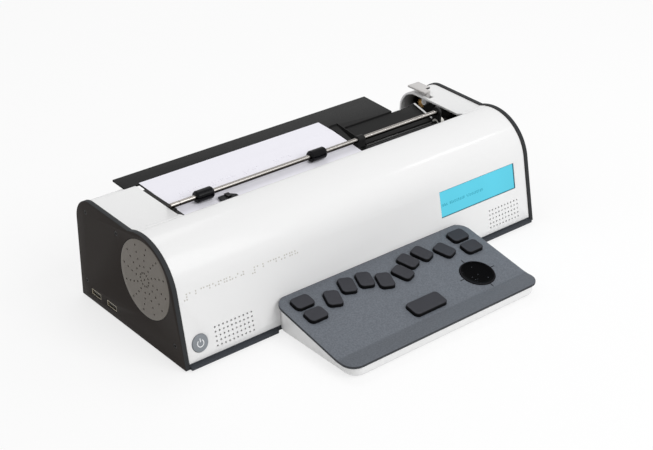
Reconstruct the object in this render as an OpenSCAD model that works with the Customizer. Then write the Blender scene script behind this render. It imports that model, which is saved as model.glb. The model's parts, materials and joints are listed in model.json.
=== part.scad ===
// Braille writer: an embossing machine with a paper deck on top and a keyboard at its front.
// Millimetres. X runs along the machine, Y from the keyboard to the rear, Z up.
// The origin is at the middle of the footprint, on the surface that the feet stand on.

/* [Housing] */
// Length over the two side plates
body_l = 440; // [425:1:470]
// Depth of the side plates
body_d = 169.5; // [167:0.5:180]
// Thickness of a side plate
plate_t = 5; // [4.5:0.5:7]
// Backward lean of the front, in degrees
front_lean = 12.2; // [11.5:0.1:13]
// Distance from the front foot to the middle of the hump
hump_y = 63.5; // [63:0.5:65]
// Height of the middle of the hump
hump_z = 58; // [57:0.5:60]
// Height of the deck where it leaves the hump
deck_z = 104.2; // [103.6:0.1:104.8]
// Rise of the deck towards the rear, in degrees
deck_rise = 1.4; // [1:0.1:2]
// Radius of the rear top corner
rear_r = 24; // [20:1:26]
// Wall of the white covers
cover_t = 2.5; // [2:0.1:2.8]
// Step of the covers below the plate edges
cover_drop = 1; // [0.6:0.1:1.4]
// Gap of the seam between the two covers
seam = 0.2; // [0.1:0.1:0.5]
// Distance from the dip of the deck forward to the seam
seam_front = 9.5; // [6:0.1:11]
// Width of the closed deck at the left end
left_cap_w = 48; // [45:1:52]
// Width of the closed deck at the right end
right_cap_w = 33; // [32:1:36]
// Height of the back wall behind the paper deck
back_wall_h = 78; // [70:1:90]
// Height of the strip of the base that shows below the covers
strip_h = 4; // [4:0.5:5]
// Thickness of the base floor
floor_t = 3; // [2:0.5:3.5]
// Reach of the base's ledge before the front foot
ledge_out = 2.6; // [1:0.1:3]
// Height of the ledge
ledge_h = 2.8; // [2:0.1:3.5]
// Gap between the ledge and the keyboard's ends
ledge_gap = 0.5; // [0.3:0.1:2]
// Diameter of a foot under the machine
foot_d = 16; // [12:1:20]
// Height of the feet
foot_h = 1.5; // [1:0.5:3]
// Distance of the feet from the ends and edges
foot_in = 22; // [18:1:30]

/* [Front controls] */
// Width of the display window
lcd_w = 104.5; // [80:0.5:110]
// Height of the display window along the slope
lcd_h = 27; // [20:0.2:27.4]
// Distance up the slope to the middle of the window
lcd_up = 54.5; // [52:0.1:55]
// Distance from the right plate to the middle of the window
lcd_from_right = 67.75; // [60:0.25:80]
// Depth of the display face below the cover
lcd_recess = 0.4; // [0.3:0.1:1.2]
// Overlap of the display module behind the cover
lcd_lap = 2.5; // [2:0.5:4]
// Depth of the display module behind the cover
lcd_depth = 4; // [3:0.5:6]
// Diameter of the power button
button_d = 16.5; // [12:0.5:18]
// Distance from the left plate to the power button
button_from_left = 14.3; // [13:0.1:20]
// Distance up the slope to the power button
button_up = 19.75; // [18:0.25:24]
// Height of the button above the cover
button_proud = 1; // [0.5:0.1:2]
// Gap round the button in the cover
button_gap = 0.25; // [0.15:0.05:0.4]
// Overlap of the button's flange behind the cover
button_lap = 1.5; // [1:0.1:2]
// Thickness of the button's flange
button_flange_t = 1.5; // [1:0.1:2]
// Length of the button's stem
button_stem_l = 3; // [2:0.5:4]
// Gap round the display in its window
lcd_gap = 0.2; // [0.1:0.05:0.3]
// Columns of holes in a front grille
grille_cols = 10; // [6:1:12]
// Rows of holes in a front grille
grille_rows = 5; // [3:1:6]
// Spacing of the grille holes
grille_pitch = 4.45; // [4:0.05:4.8]
// Diameter of a grille hole
grille_hole_d = 2; // [1.2:0.1:2.2]
// Distance up the slope to the middle of a grille
grille_up = 19.5; // [19:0.5:24]
// Distance from the left plate to the left grille
left_grille_in = 51.8; // [50:0.2:60]
// Distance from the right plate to the right grille
right_grille_in = 35.25; // [34:0.25:40]
// Diameter of a front speaker
speaker_d = 25; // [20:1:25]
// Depth of a front speaker
speaker_l = 11; // [8:1:12]

/* [Side plates] */
// Distance of the round disc from the front foot
disc_y = 58.5; // [57:0.5:60]
// Height of the round disc
disc_z = 65.5; // [64:0.5:66]
// Diameter of the round disc
disc_d = 75.6; // [68:0.2:76]
// Thickness of the round disc
disc_t = 3; // [2:0.5:4]
// Gap round the disc in its seat
disc_gap = 0.3; // [0.1:0.1:0.5]
// Width of the ledge that carries the disc
disc_ledge = 3.2; // [2:0.2:4]
// Rows of holes from the middle of the disc
disc_rows = 12; // [8:1:14]
// Holes in each row
disc_row_holes = 4; // [3:1:4]
// Radius of the first hole of a row
disc_first_r = 13; // [11:0.5:13]
// Spacing of the holes in a row
disc_pitch = 6.4; // [5:0.1:6.5]
// Radius of the inner ring of holes
disc_ring_r = 6.5; // [4:0.5:8]
// Diameter of a hole in the disc
disc_hole_d = 2; // [1.2:0.1:2.2]
// Turn from one hole of a row to the next, in degrees
disc_swirl = 2.5; // [0:0.5:4]
// Width of the side speaker's rim outside the disc's opening
side_speaker_rim = 1.2; // [0.8:0.1:1.5]
// Thickness of the side speaker's rim
side_speaker_t = 2.5; // [2:0.5:3]
// Depth of the side speaker's cone
side_speaker_cone = 7; // [5:0.5:7]
// Diameter of the side speaker's magnet
side_speaker_magnet = 36; // [30:1:40]
// Depth of the side speaker's magnet
side_speaker_l = 5; // [4:0.5:5]
// Width of a port opening
port_w = 16; // [12:0.5:18]
// Height of a port
port_h = 5.6; // [4.5:0.1:6]
// Length of a port connector
port_l = 16; // [12:1:18]
// Wall of a port shell
port_wall = 0.6; // [0.4:0.1:0.8]
// Thickness of the tongue in a port
port_tongue = 1.6; // [1:0.1:2]
// Depth of a port's mouth
port_mouth = 9; // [7:0.5:10]
// Distance of a port's mouth inside the plate's face
port_sink = 0.5; // [0.2:0.1:1]
// Gap round a port in the plate
port_gap = 0.3; // [0.2:0.05:0.5]
// Height of the middle of the ports
port_z = 10; // [9.5:0.5:12]
// Distance from the rear to the first port
port_from_rear = 24.8; // [22:0.2:30]
// Spacing of the two ports
port_pitch = 26.5; // [24:0.5:30]
// Diameter of a plate screw's head
screw_head_d = 5.2; // [4:0.2:6]
// Height of a plate screw's head
screw_head_h = 1.4; // [1:0.1:2]
// Diameter of a plate screw's thread
screw_d = 3; // [2.5:0.5:3.5]
// Reach of a plate screw inside the plate
screw_in = 3; // [2:0.5:3]
// Diameter of a screw boss
boss_d = 7; // [6:0.5:8]
// Length of a screw boss
boss_l = 3.6; // [3.2:0.1:3.8]
// Distance of the upper rear screw from the rear
screw_rear = 17; // [15:0.5:20]
// Distance of the lower rear screw from the rear
screw_low_rear = 10.4; // [9:0.2:14]
// Distance of the upper screws below the deck
screw_drop = 11; // [9:0.5:14]
// Distance of the middle screw behind the dip of the deck
screw_mid = 19.2; // [18:0.2:24]
// Height of the lower screws
screw_low = 18.8; // [16:0.2:22]
// Distance of the lower front screw from the front foot
screw_front = 15.3; // [14:0.1:18]

/* [Paper deck] */
// Width of the sheet of paper
paper_w = 216; // [150:1:216]
// Length of the sheet of paper
paper_l = 279.4; // [260:0.2:280]
// Thickness of the sheet as modelled
paper_t = 0.3; // [0.2:0.05:0.4]
// Distance of the sheet below the deck at the dip
paper_drop = 6.5; // [6.3:0.1:6.7]
// Slope of the sheet over the rollers, in degrees
paper_slope = 7.6; // [7.2:0.1:8]
// Distance of the sheet's rear edge behind the dip
paper_back = 69.5; // [60:0.5:75]
// Radius of the bends of the sheet inside the machine
paper_bend_r = 24; // [22:0.5:24]
// Distance of the upper bend's start before the dip
paper_bend_y = 10; // [9:0.5:11]
// Height of the lowest run of the sheet above the floor
paper_low = 5; // [4:0.5:7]
// Distance of the tray's front edge behind the dip
tray_front = 46.6; // [46:0.2:50]
// Thickness of the tray
tray_t = 2; // [1.5:0.5:2.5]
// Slope of the tray, in degrees
tray_slope = 2.6; // [2:0.1:3.2]
// Reach of the tray behind the plates
tray_over = 2.3; // [1:0.1:8]
// Reach of the tray's wing to the left of the deck opening
tray_wing = 11; // [8:1:14]
// Depth of the tray's wing
tray_wing_d = 21; // [18:1:22]
// Gap round the tray's wing
wing_gap = 0.5; // [0.3:0.1:0.8]
// Width of a leg under the tray
tray_leg_w = 14; // [10:1:20]
// Thickness of a leg under the tray
tray_leg_t = 3; // [2:0.5:3]
// Reach of a leg below the top of the back wall
tray_leg_l = 12; // [8:1:16]
// Distance of the tray's legs from its ends
tray_leg_in = 40; // [30:1:60]
// Distance from the right cap to the tray's right end
tray_right = 48.5; // [40:0.5:60]
// Depth of the notch in the tray behind the paper guide
tray_notch = 8.3; // [6:0.1:10]
// Gap between the sheet and the tray
tray_gap = 0.2; // [0.1:0.1:0.3]
// Slope of the platen, in degrees
platen_slope = 15; // [13:0.5:15.5]
// Thickness of the platen
platen_t = 1.6; // [1.2:0.1:2]
// Depth of the platen's flange below the tray
platen_flange = 14; // [10:1:20]
// Width of the anvil bar
anvil_w = 9.6; // [8:0.2:10]
// Height of the anvil bar
anvil_h = 12; // [8:1:16]
// Distance of the anvil bar's top below the deck
anvil_drop = 7.7; // [7.6:0.1:8.2]
// Gap between the anvil bar and the drive rollers
anvil_gap = 0.7; // [0.5:0.1:1.2]
// Width of the left edge rail
rail_w = 4.2; // [3:0.1:4.6]
// Length of the left edge rail behind the dip
rail_back = 56; // [50:1:60]
// Depth of the left edge rail
rail_h = 22; // [20:1:26]
// Drop of the rail's top below the closed deck
rail_drop = 0.3; // [0.2:0.1:0.6]
// Gap on each side of the rail
rail_gap = 0.3; // [0.2:0.1:0.4]
// Width of the right paper guide's strip
guide_w = 10.6; // [8:0.2:12]
// Thickness of the guide's strip
guide_t = 0.8; // [0.6:0.1:0.8]
// Rise of the guide's strip above the sheet
guide_rise = 0.5; // [0.4:0.05:0.55]
// Gap between the sheet's edge and the guide
guide_gap = 0.5; // [0.3:0.1:1]
// Reach of the guide behind the dip
guide_back = 53; // [50:1:54]
// Reach of the guide before the dip
guide_fore = 3.6; // [3:0.2:4]
// Length of the guide's hub on the shaft
guide_hub_l = 8; // [6:0.5:8]
// Diameter of the guide's hub
guide_hub_d = 8.4; // [8:0.2:10]
// Distance of the guide's hub from its left edge
guide_hub_in = 1.2; // [1:0.2:3]
// Height of the lip along the guide's right edge
guide_lip_h = 2; // [1:0.1:2.5]
// Width of the lip along the guide's right edge
guide_lip_w = 1; // [0.8:0.1:1.4]

/* [Paper feed] */
// Distance of the feed shafts behind the dip
shaft_back = 12.3; // [12:0.1:12.6]
// Diameter of the pinch shaft
pinch_shaft_d = 5; // [4:0.5:6]
// Diameter of a pinch roller
pinch_roller_d = 11.5; // [10.5:0.1:11.9]
// Diameter of the drive shaft
drive_shaft_d = 6; // [5:0.5:7]
// Diameter of a drive roller
drive_roller_d = 12; // [11:0.2:12.4]
// Length of a roller
roller_l = 18.8; // [16:0.2:24]
// Distance of the first roller from the left edge of the opening
roller_in = 28; // [20:1:32]
// Spacing of the two rollers
roller_pitch = 134; // [100:1:136]
// Gap between a roller and the sheet
roll_gap = 0.3; // [0.2:0.05:0.35]
// Radial clearance of a running fit
run_gap = 0.05; // [0.02:0.01:0.1]
// Radial clearance of a fixed fit
fix_gap = 0.02; // [0.01:0.01:0.05]
// Thickness of a frame plate
frame_t = 2.5; // [2:0.5:3]
// Distance of the right frame plate from the right cap
frame_in = 18; // [17:0.5:20]
// Front edge of the frame plates
frame_front = 28; // [28:0.5:30]
// Rear edge of the frame plates
frame_rear = 150; // [146:1:152]
// Radius of the ear round the pinch shaft
ear_r = 5.5; // [5:0.1:6]
// Outer diameter of a shaft bush
bush_d = 10; // [9:0.5:10]
// Diameter of a bush flange
bush_flange_d = 13; // [12:0.5:13]
// Thickness of a bush flange
bush_flange_t = 1.5; // [1:0.5:2]
// Length of the nose of the right bush
bush_nose_l = 4; // [3:0.5:6]
// Module of the gears
gear_m = 1; // [0.95:0.01:1.03]
// Width of the gears
gear_w = 5; // [4:0.5:5]
// Teeth of the gear on the drive shaft
drive_teeth = 14; // [13:1:14]
// Teeth of the idler gear
idler_teeth = 60; // [58:1:62]
// Teeth of the motor pinion
pinion_teeth = 9; // [9:1:10]
// Distance of the motor pinion behind the drive shaft
pinion_back = 55.6; // [55:0.1:56]
// Distance of the motor pinion below the drive shaft
pinion_drop = 5.7; // [5:0.1:6.5]
// Distance of the gears inside the right cap's edge
gear_in = 14; // [13.5:0.5:15]
// Thickness of the gear plate
gear_plate_t = 2; // [1.5:0.5:2.5]
// Diameter of the feed motor
feed_motor_d = 20; // [16:1:20]
// Length of the feed motor
feed_motor_l = 7; // [5:0.5:7]
// Diameter of the motor shafts
motor_shaft_d = 3; // [2:0.5:3]
// Diameter of the stud that carries the idler gear
stud_d = 6; // [4:0.5:8]
// Height of the frame plates' top below the closed deck
frame_drop = 2.2; // [1.5:0.1:3]
// Height of the frame plates at their front edge
frame_front_z = 78; // [76:1:80]
// Height of the frame plates at their rear edge
frame_rear_z = 88; // [80:1:90]
// Length of the drive shaft outside the left frame plate
shaft_out = 4; // [3:0.5:6]
// Length of the pinch shaft outside the right frame plate
pinch_out = 1.5; // [1:0.5:3]

/* [Embossing head] */
// Middle of the head from the left edge of the opening
head_in = 58; // [50:1:70]
// Width of the head carriage
carriage_w = 40; // [30:1:44]
// Depth of the head carriage
carriage_d = 20; // [20:0.5:20.5]
// Height of the carriage above the upper rod's middle
carriage_top = 13; // [12:0.5:13]
// Depth of the carriage below the lower rod's middle
carriage_low = 8; // [7:0.5:10]
// Chamfer of the carriage's upper front edge
carriage_cut = 13; // [12:0.5:13]
// Room round the belt where it passes other pieces
belt_room = 0.8; // [0.5:0.1:0.8]
// Height of the nose where it joins the carriage
nose_root = 7; // [5:0.5:8]
// Width of the embossing nose
nose_w = 18; // [14:1:22]
// Thickness of the embossing nose
nose_t = 2.2; // [1.8:0.1:2.3]
// Gap between the nose and the sheet
nose_gap = 1; // [0.9:0.05:1.1]
// Reach of the nose behind the dip
nose_back = 6.3; // [6:0.1:6.5]
// Width of the cut corner of the nose
nose_cut_w = 6; // [4:0.1:6]
// Depth of the cut corner of the nose
nose_cut_d = 4.5; // [3:0.1:5]
// Diameter of a carriage rod
rod_d = 8; // [6:0.5:9]
// Distance of the rods from the front foot
rod_y = 37; // [36.5:0.5:37.5]
// Height of the upper rod
rod_high = 82; // [80:0.5:83]
// Height of the lower rod
rod_low = 52; // [50:0.5:54]
// Diameter of an embossing pin
pin_d = 1.2; // [0.8:0.1:1.4]
// Spacing of the embossing pins
pin_pitch = 2.5; // [2.3:0.1:2.7]
// Clearance round an embossing pin
pin_gap = 0.12; // [0.08:0.02:0.2]
// Stroke of the embossing pins
pin_stroke = 0.5; // [0.3:0.1:0.6]
// Thickness of the belt
belt_t = 1; // [0.8:0.1:1.4]
// Width of the belt
belt_w = 6; // [5:0.5:7]
// Diameter of a belt pulley
pulley_d = 12; // [10:0.5:12]
// Height of the middle of the belt
belt_z = 69; // [68:0.5:70]
// Gap between the belt and a pulley
belt_gap = 0.3; // [0.2:0.05:0.4]
// Diameter of the belt motor
belt_motor_d = 24; // [20:1:24]
// Length of the belt motor
belt_motor_l = 34; // [28:1:40]
// Space between the belt motor and the left frame plate
motor_room = 6; // [4:0.5:6]
// Space between the belt motor and its pulley
motor_gap = 1; // [0.6:0.1:1.4]

/* [Release lever] */
// Distance of the lever's middle inside the right cap's edge
lever_in = 6.2; // [5.6:0.1:6.4]
// Distance of the lever's pivot behind the dip
lever_back = 51; // [49:0.5:52]
// Distance of the lever's pivot below the cap
lever_drop = 3.9; // [3.7:0.1:4.2]
// Diameter of the lever's pivot pin
lever_pin_d = 4; // [3:0.5:4]
// Diameter of the lever's hub
lever_hub_d = 6.4; // [6:0.1:6.6]
// Width of the lever's leg
lever_leg_w = 5; // [4:0.1:5.2]
// Thickness of the lever's leg
lever_leg_t = 3.6; // [3:0.1:4]
// Reach of the lever's tab to the left
lever_tab_left = 6.7; // [5:0.1:8]
// Reach of the lever's tab to the right
lever_tab_right = 8.8; // [6:0.1:10]
// Reach of the tab's finger to the right
lever_finger = 2; // [1:0.1:3]
// Length of the lever's tab
lever_tab_l = 26; // [20:0.5:28]
// Reach of the tab's finger before the pivot
lever_fore = 2.6; // [2:0.1:2.6]
// Length of the tab's finger
lever_finger_l = 7.6; // [5:0.1:9]
// Thickness of the lever's tab
lever_tab_t = 2.2; // [1.6:0.1:3]
// Height of the tab above the cap
lever_lift = 3.8; // [2.8:0.1:4.4]
// Clearance beside the lever
lever_gap = 0.3; // [0.2:0.1:0.5]
// Thickness of the lugs that carry the lever
lever_lug_t = 2; // [1.5:0.5:2]
// Front reach of the slot for the lever
lever_slot = 6.8; // [6.6:0.1:8]

/* [Inside] */
// Size of the main board along the machine
board_l = 88; // [60:1:92]
// Depth of the main board
board_d = 76; // [60:1:80]
// Thickness of the main board
board_t = 1.6; // [1.2:0.2:2]
// Height of the main board above the floor
board_up = 9; // [6:1:14]
// Distance of the main board from the right frame plate
board_in = 5; // [4:1:8]
// Distance of the main board's front from the front foot
board_y = 68; // [66:1:72]
// Diameter of a board post
post_d = 6; // [5:0.5:8]
// Length of the battery
battery_l = 88; // [60:1:90]
// Depth of the battery
battery_d = 38; // [30:1:40]
// Height of the battery
battery_h = 21; // [15:1:26]
// Distance of the battery from the front foot
battery_y = 24; // [22:1:26]

/* [Keyboard] */
// Width of the keyboard panel
kb_w = 238; // [232:1:250]
// Reach of the keyboard before the front foot
kb_front = 102.4; // [101:0.2:110]
// Height of the panel where it passes above the front foot
kb_rear_z = 27.8; // [27:0.1:29]
// Slope of the panel, in degrees
kb_slope = 10.76; // [10.4:0.02:11]
// Depth of the level lip at the front
kb_lip = 20; // [16:0.5:21]
// Radius of the keyboard's corners
kb_corner_r = 13; // [8:0.5:16]
// Thickness of the panel
kb_panel_t = 2.4; // [2:0.1:2.6]
// Overhang of the panel round the base
kb_over = 1; // [0.4:0.1:1.5]
// Further setback of the base below the ends of the panel
kb_side_in = 2.5; // [0:0.1:4]
// Wall of the keyboard base
kb_wall = 2.4; // [1.8:0.1:2.6]
// Gap between the keyboard and the machine's front
kb_gap = 0.3; // [0.2:0.1:0.5]
// Diameter of a foot under the keyboard
kb_foot_d = 12; // [8:1:16]
// Width of a tongue that ties the keyboard to the base
tongue_w = 30; // [20:1:40]
// Length of a tongue
tongue_l = 12; // [8:1:16]
// Thickness of a tongue
tongue_t = 1.2; // [0.8:0.1:1.2]
// Distance of the tongues from the middle
tongue_x = 60; // [40:1:80]
// Clearance round a tongue
tongue_gap = 0.2; // [0.1:0.1:0.3]

/* [Keys] */
// Width of a dot key
dot_w = 15.4; // [13:0.2:15.8]
// Length of a dot key
dot_l = 20.6; // [18:0.2:21.4]
// Turn of the dot keys towards the hands, in degrees
dot_turn = 20; // [15:1:22]
// Width of a function key
fn_w = 20.6; // [17:0.2:22]
// Depth of a function key
fn_l = 15.6; // [13:0.2:16.6]
// Distance of the function keys from the middle
fn_x = 98.1; // [97:0.1:99]
// Distance of the rear function keys down the panel
fn_rear = 9.5; // [9:0.1:12]
// Spacing of the function keys
fn_pitch = 19.6; // [19:0.1:21]
// Width of the space key
space_w = 39.4; // [30:0.2:60]
// Depth of the space key
space_l = 18; // [14:0.2:19]
// Distance of the space key down the panel
space_down = 70.2; // [69:0.1:72]
// Radius of a key's corners
key_r = 4.4; // [3:0.1:5]
// Height of the keys above the panel
key_h = 3.4; // [2.6:0.1:5]
// Press of a key
key_travel = 2.2; // [1.5:0.1:2.4]
// Gap round a key in the panel
key_gap = 0.35; // [0.25:0.05:0.5]
// Width of the flange that holds a key in
key_lap = 0.75; // [0.6:0.05:0.8]
// Thickness of the key flange
key_flange_t = 1.2; // [0.8:0.1:1.4]
// Length of the stem under a key
key_stem_l = 0.8; // [0.5:0.1:1]
// Height of a key switch
switch_h = 2; // [1.5:0.1:2.2]
// Side of a key switch
switch_w = 6; // [5:0.5:7]
// Thickness of the key board
kb_board_t = 1.2; // [1:0.1:1.2]
// Diameter of the navigation disc
nav_d = 34.6; // [28:0.2:35]
// Distance of the navigation disc from the middle
nav_x = 75.6; // [72:0.2:78]
// Distance of the navigation disc down the panel
nav_down = 60.8; // [60:0.2:62]
// Height of the navigation disc above the panel
nav_h = 1.2; // [0.8:0.1:2]
// Thickness of the navigation disc
nav_t = 3.2; // [2.6:0.1:3.4]
// Gap round the navigation disc
nav_gap = 0.5; // [0.4:0.1:0.7]
// Diameter of the disc's gimbal
gimbal_d = 12; // [10:0.5:12]
// Thickness of the disc's gimbal
gimbal_t = 1.6; // [1.2:0.1:1.6]
// Gap above and below the gimbal
gimbal_gap = 0.45; // [0.4:0.05:0.5]
// Length of the boss under the navigation disc
nav_boss_l = 1.5; // [1.2:0.1:1.6]
// Width of the key board
kb_board_w = 214; // [208:1:216]
// Distance of the key board's front edge down the panel
kb_board_down = 80; // [79.5:0.1:80]
// Distance of the key board's rear edge down the panel
kb_board_rear = 3; // [2:0.1:4]

/* [Hidden] */
$fn = 96;
white = "whitesmoke";
charcoal = "#3a3836";
dark = "#2b2b2c";
steel = "silver";
// Overlap that makes cutters pass right through, and a length longer than any piece
eps = 1;
far = 600;

// Housing lines
inner_x = body_l / 2 - plate_t;
open_l = -inner_x + left_cap_w;
open_r = inner_x - right_cap_w;
hump_r = hump_y * cos(front_lean) - hump_z * sin(front_lean);
dip_y = hump_y + sqrt(pow(hump_r, 2) - pow(deck_z - hump_z, 2));
seam_y = dip_y - seam_front;
cover_in = cover_drop + cover_t;
rear_cy = body_d - rear_r;
rear_cz = deck_z + (rear_cy - dip_y) * tan(deck_rise) - rear_r / cos(deck_rise);
function deck_at(y, inset = 0) = deck_z + (y - dip_y) * tan(deck_rise) - inset / cos(deck_rise);

// Sheet, tray and platen lines
tray_y = dip_y + tray_front;
tray_end = body_d + tray_over;
function paper_z(y) = deck_z - paper_drop + (y - dip_y) * tan(paper_slope);
tray_z = paper_z(tray_y) - paper_t - tray_gap;
function tray_at(y) = tray_z + (y - tray_y) * tan(tray_slope);
platen_z = tray_z - tray_t;
paper_x = open_l + rail_gap + rail_w + rail_gap;
guide_x = paper_x + paper_w + guide_gap;
tray_x1 = open_r - tray_right;

// Feed lines
shaft_y = dip_y + shaft_back;
pinch_z = paper_z(shaft_y) + (pinch_roller_d / 2 + roll_gap) / cos(paper_slope);
drive_z = paper_z(shaft_y) - (drive_roller_d / 2 + roll_gap + paper_t) / cos(paper_slope);
roller_x = [open_l + roller_in, open_l + roller_in + roller_pitch];
rail_x = open_l + rail_gap;
left_frame_x = rail_x - frame_t;
right_frame_x = open_r - frame_in;
function platen_at(y) = platen_z - (tray_y - y) * tan(platen_slope);
platen_y = shaft_y + drive_roller_d / 2 + anvil_gap;
anvil_y = shaft_y - drive_roller_d / 2 - anvil_gap - anvil_w;
anvil_z = deck_z - anvil_drop;

// Gear centres: the idler hangs below the line from the drive gear to the pinion
gear_x = open_r + gear_in;
gear_plate_x = gear_x + gear_w + eps;
drive_c = [shaft_y, drive_z];
pinion_c = [shaft_y + pinion_back, drive_z - pinion_drop];
mesh_a = gear_m * (drive_teeth + idler_teeth) / 2;
mesh_b = gear_m * (pinion_teeth + idler_teeth) / 2;
mesh_c = norm(pinion_c - drive_c);
mesh_along = (pow(mesh_a, 2) - pow(mesh_b, 2) + pow(mesh_c, 2)) / (2 * mesh_c);
mesh_down = sqrt(pow(mesh_a, 2) - pow(mesh_along, 2));
mesh_dir = (pinion_c - drive_c) / mesh_c;
idler_c = drive_c + mesh_along * mesh_dir + mesh_down * [mesh_dir[1], -mesh_dir[0]];
function bearing(from, to) = atan2(to[1] - from[1], to[0] - from[0]);
drive_turn = bearing(drive_c, idler_c);
idler_turn = drive_turn + 180 - 180 / idler_teeth;
idler_out = bearing(idler_c, pinion_c);
pinion_turn = idler_out + 180 - (180 - (idler_out - idler_turn) * idler_teeth) / pinion_teeth;

// Head lines
head_x = open_l + head_in;
nose_y = dip_y + nose_back;
carriage_y0 = rod_y - carriage_d / 2;
carriage_y1 = rod_y + carriage_d / 2;
carriage_z1 = rod_high + carriage_top;
carriage_z0 = rod_low - carriage_low;
nose_foot = carriage_z1 - nose_root;
slot_d = pulley_d + 2 * (belt_gap + belt_t + belt_room);
slot_h = belt_w + 2 * belt_room;
pulley_lx = left_frame_x - belt_motor_d / 2 - motor_room;
pulley_rx = right_frame_x + frame_t + pulley_d;
function nose_z(y) = paper_z(y) + nose_gap;

disc_c = [disc_y, disc_z];

// Lever and keyboard lines
lever_x = open_r + lever_in;
lever_y = dip_y + lever_back;
cap_z = deck_at(lever_y, cover_drop);
lever_z = cap_z - cover_t - lever_drop;
kb_crease_y = kb_lip - kb_front;
kb_crease_z = kb_rear_z + kb_crease_y * tan(kb_slope);
kb_rear = (kb_rear_z * tan(front_lean) + (cover_drop - kb_gap) / cos(front_lean))
    / (1 - tan(kb_slope) * tan(front_lean));
flange_n = -kb_panel_t - seam;
stem_n = flange_n - key_flange_t - key_stem_l;
switch_n = stem_n - key_travel - seam;
board_n = switch_n - switch_h;
// Dot keys of the right hand, from the middle outwards: distance from the middle and down the panel
dot_at = [[11.2, 24.8], [27.3, 14.4], [47.2, 12.4], [70.3, 19.8]];
// Chips on the main board as shares of its size: middle along and across it, length and width
chip_at = [[0.3, 0.35, 0.2, 0.2], [0.65, 0.3, 0.12, 0.22], [0.55, 0.7, 0.25, 0.12], [0.2, 0.75, 0.1, 0.15]];
screw_at = [
    [body_d - screw_rear, deck_z - screw_drop],
    [dip_y + screw_mid, deck_z - screw_drop],
    [body_d - screw_low_rear, screw_low],
    [screw_front, screw_low]];

// The machine's own frame: front foot of the side plates, underside of the base
origin_y = (kb_front - tray_end) / 2;
module machine() {
    translate([0, origin_y, foot_h]) children();
}

// A profile in depth and height, drawn out along the machine from x
module along(x, l) {
    translate([x, 0, 0]) rotate([90, 0, 90]) linear_extrude(l) children();
}

// A round bar along the machine from x
module bar(x, l, c, d) {
    translate([x, c[0], c[1]]) rotate([0, 90, 0]) cylinder(d = d, h = l);
}

// A frame on the front slope: x along the machine, y up the slope, z out of the cover
module on_slope(x, up) {
    rotate([90 - front_lean, 0, 0]) translate([x, up, -cover_drop]) children();
}

// A frame on the keyboard panel: y up the panel, z out of it
module on_panel(x, v, n = 0) {
    translate([0, 0, kb_rear_z]) rotate([kb_slope, 0, 0]) translate([x, v, n]) children();
}

// A block centred on x and y
module block(w, d, z0, z1) {
    translate([-w / 2, -d / 2, z0]) cube([w, d, z1 - z0]);
}

// A rectangle with round corners, centred
module round_rect(w, l, r) {
    square([w - 2 * r, l], center = true);
    square([w, l - 2 * r], center = true);
    for (x = [r - w / 2, w / 2 - r], y = [r - l / 2, l / 2 - r]) translate([x, y]) circle(r);
}

// Outline of the housing seen from the end, moved in by inset and down by foot
module side_profile(inset = 0, foot = 0) {
    r = rear_r - inset;
    polygon([
        [body_d - inset, -foot],
        [body_d - inset, rear_cz],
        [rear_cy - r * sin(deck_rise), rear_cz + r * cos(deck_rise)],
        [hump_y, deck_at(hump_y, inset)],
        [hump_y - (hump_r - inset) * cos(front_lean), hump_z + (hump_r - inset) * sin(front_lean)],
        [inset / cos(front_lean) - foot * tan(front_lean), -foot]]);
    translate([hump_y, hump_z]) circle(hump_r - inset);
    translate([rear_cy, rear_cz]) circle(r);
}

// The wall of the covers, all the way round
module cover_wall() {
    difference() {
        along(-inner_x, 2 * inner_x) side_profile(cover_drop);
        along(-far / 2, far) side_profile(cover_in, eps);
    }
}

// The housing between two heights
module slab(z0, z1) {
    translate([-far / 2, -far / 2, z0]) cube([far, far, z1 - z0]);
}

module base_tray() color(charcoal) machine() {
    intersection() {
        along(-inner_x, 2 * inner_x) side_profile(cover_drop);
        slab(0, floor_t);
    }
    intersection() {
        cover_wall();
        slab(0, strip_h);
    }
    for (side = [0, 1]) mirror([side, 0, 0])
        translate([kb_w / 2 + ledge_gap, -ledge_out, 0])
            cube([inner_x - kb_w / 2 - ledge_gap, ledge_out + cover_in, ledge_h]);
    for (x = [-tongue_x, tongue_x])
        translate([x - tongue_w / 2, -tongue_l, kb_wall + tongue_gap])
            cube([tongue_w, tongue_l + cover_in, tongue_t]);
    for (x = [post_d / 2, board_l - post_d / 2], y = [post_d / 2, board_d - post_d / 2])
        translate([board_x + x, board_y + y, floor_t]) cylinder(d = post_d, h = board_up);
    translate([pulley_lx, rod_y, floor_t]) cylinder(d = belt_motor_d, h = belt_motor_z - floor_t);
    translate([pulley_rx, rod_y, floor_t]) {
        cylinder(d = post_d, h = belt_z - belt_w / 2 - floor_t - seam);
        cylinder(d = motor_shaft_d, h = belt_z + belt_w / 2 - floor_t);
    }
    for (i = [0, 1])
        translate([-inner_x, port_y(i) - port_w / 2, floor_t])
            cube([port_l + port_sink - plate_t, port_w, port_z - port_h / 2 - floor_t]);
    for (side = [0, 1], i = [2, 3]) mirror([side, 0, 0]) screw_boss(screw_at[i]) {
        translate([screw_at[i][0] - boss_d / 2, floor_t / 2]) square([boss_d, screw_at[i][1] - floor_t / 2]);
    }
}
board_x = right_frame_x - board_in - board_l;
belt_motor_z = belt_z - belt_w / 2 - belt_motor_l - motor_gap;
function port_y(i) = body_d - port_from_rear - i * port_pitch;

// Stepped holes for the screws of the right plate
module plate_holes() {
    for (s = screw_at) {
        bar(inner_x - eps, plate_t + 2 * eps, s, screw_d + 2 * fix_gap);
        bar(body_l / 2 - screw_head_h, screw_head_h + eps, s, screw_head_d + 2 * fix_gap);
    }
}

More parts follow.
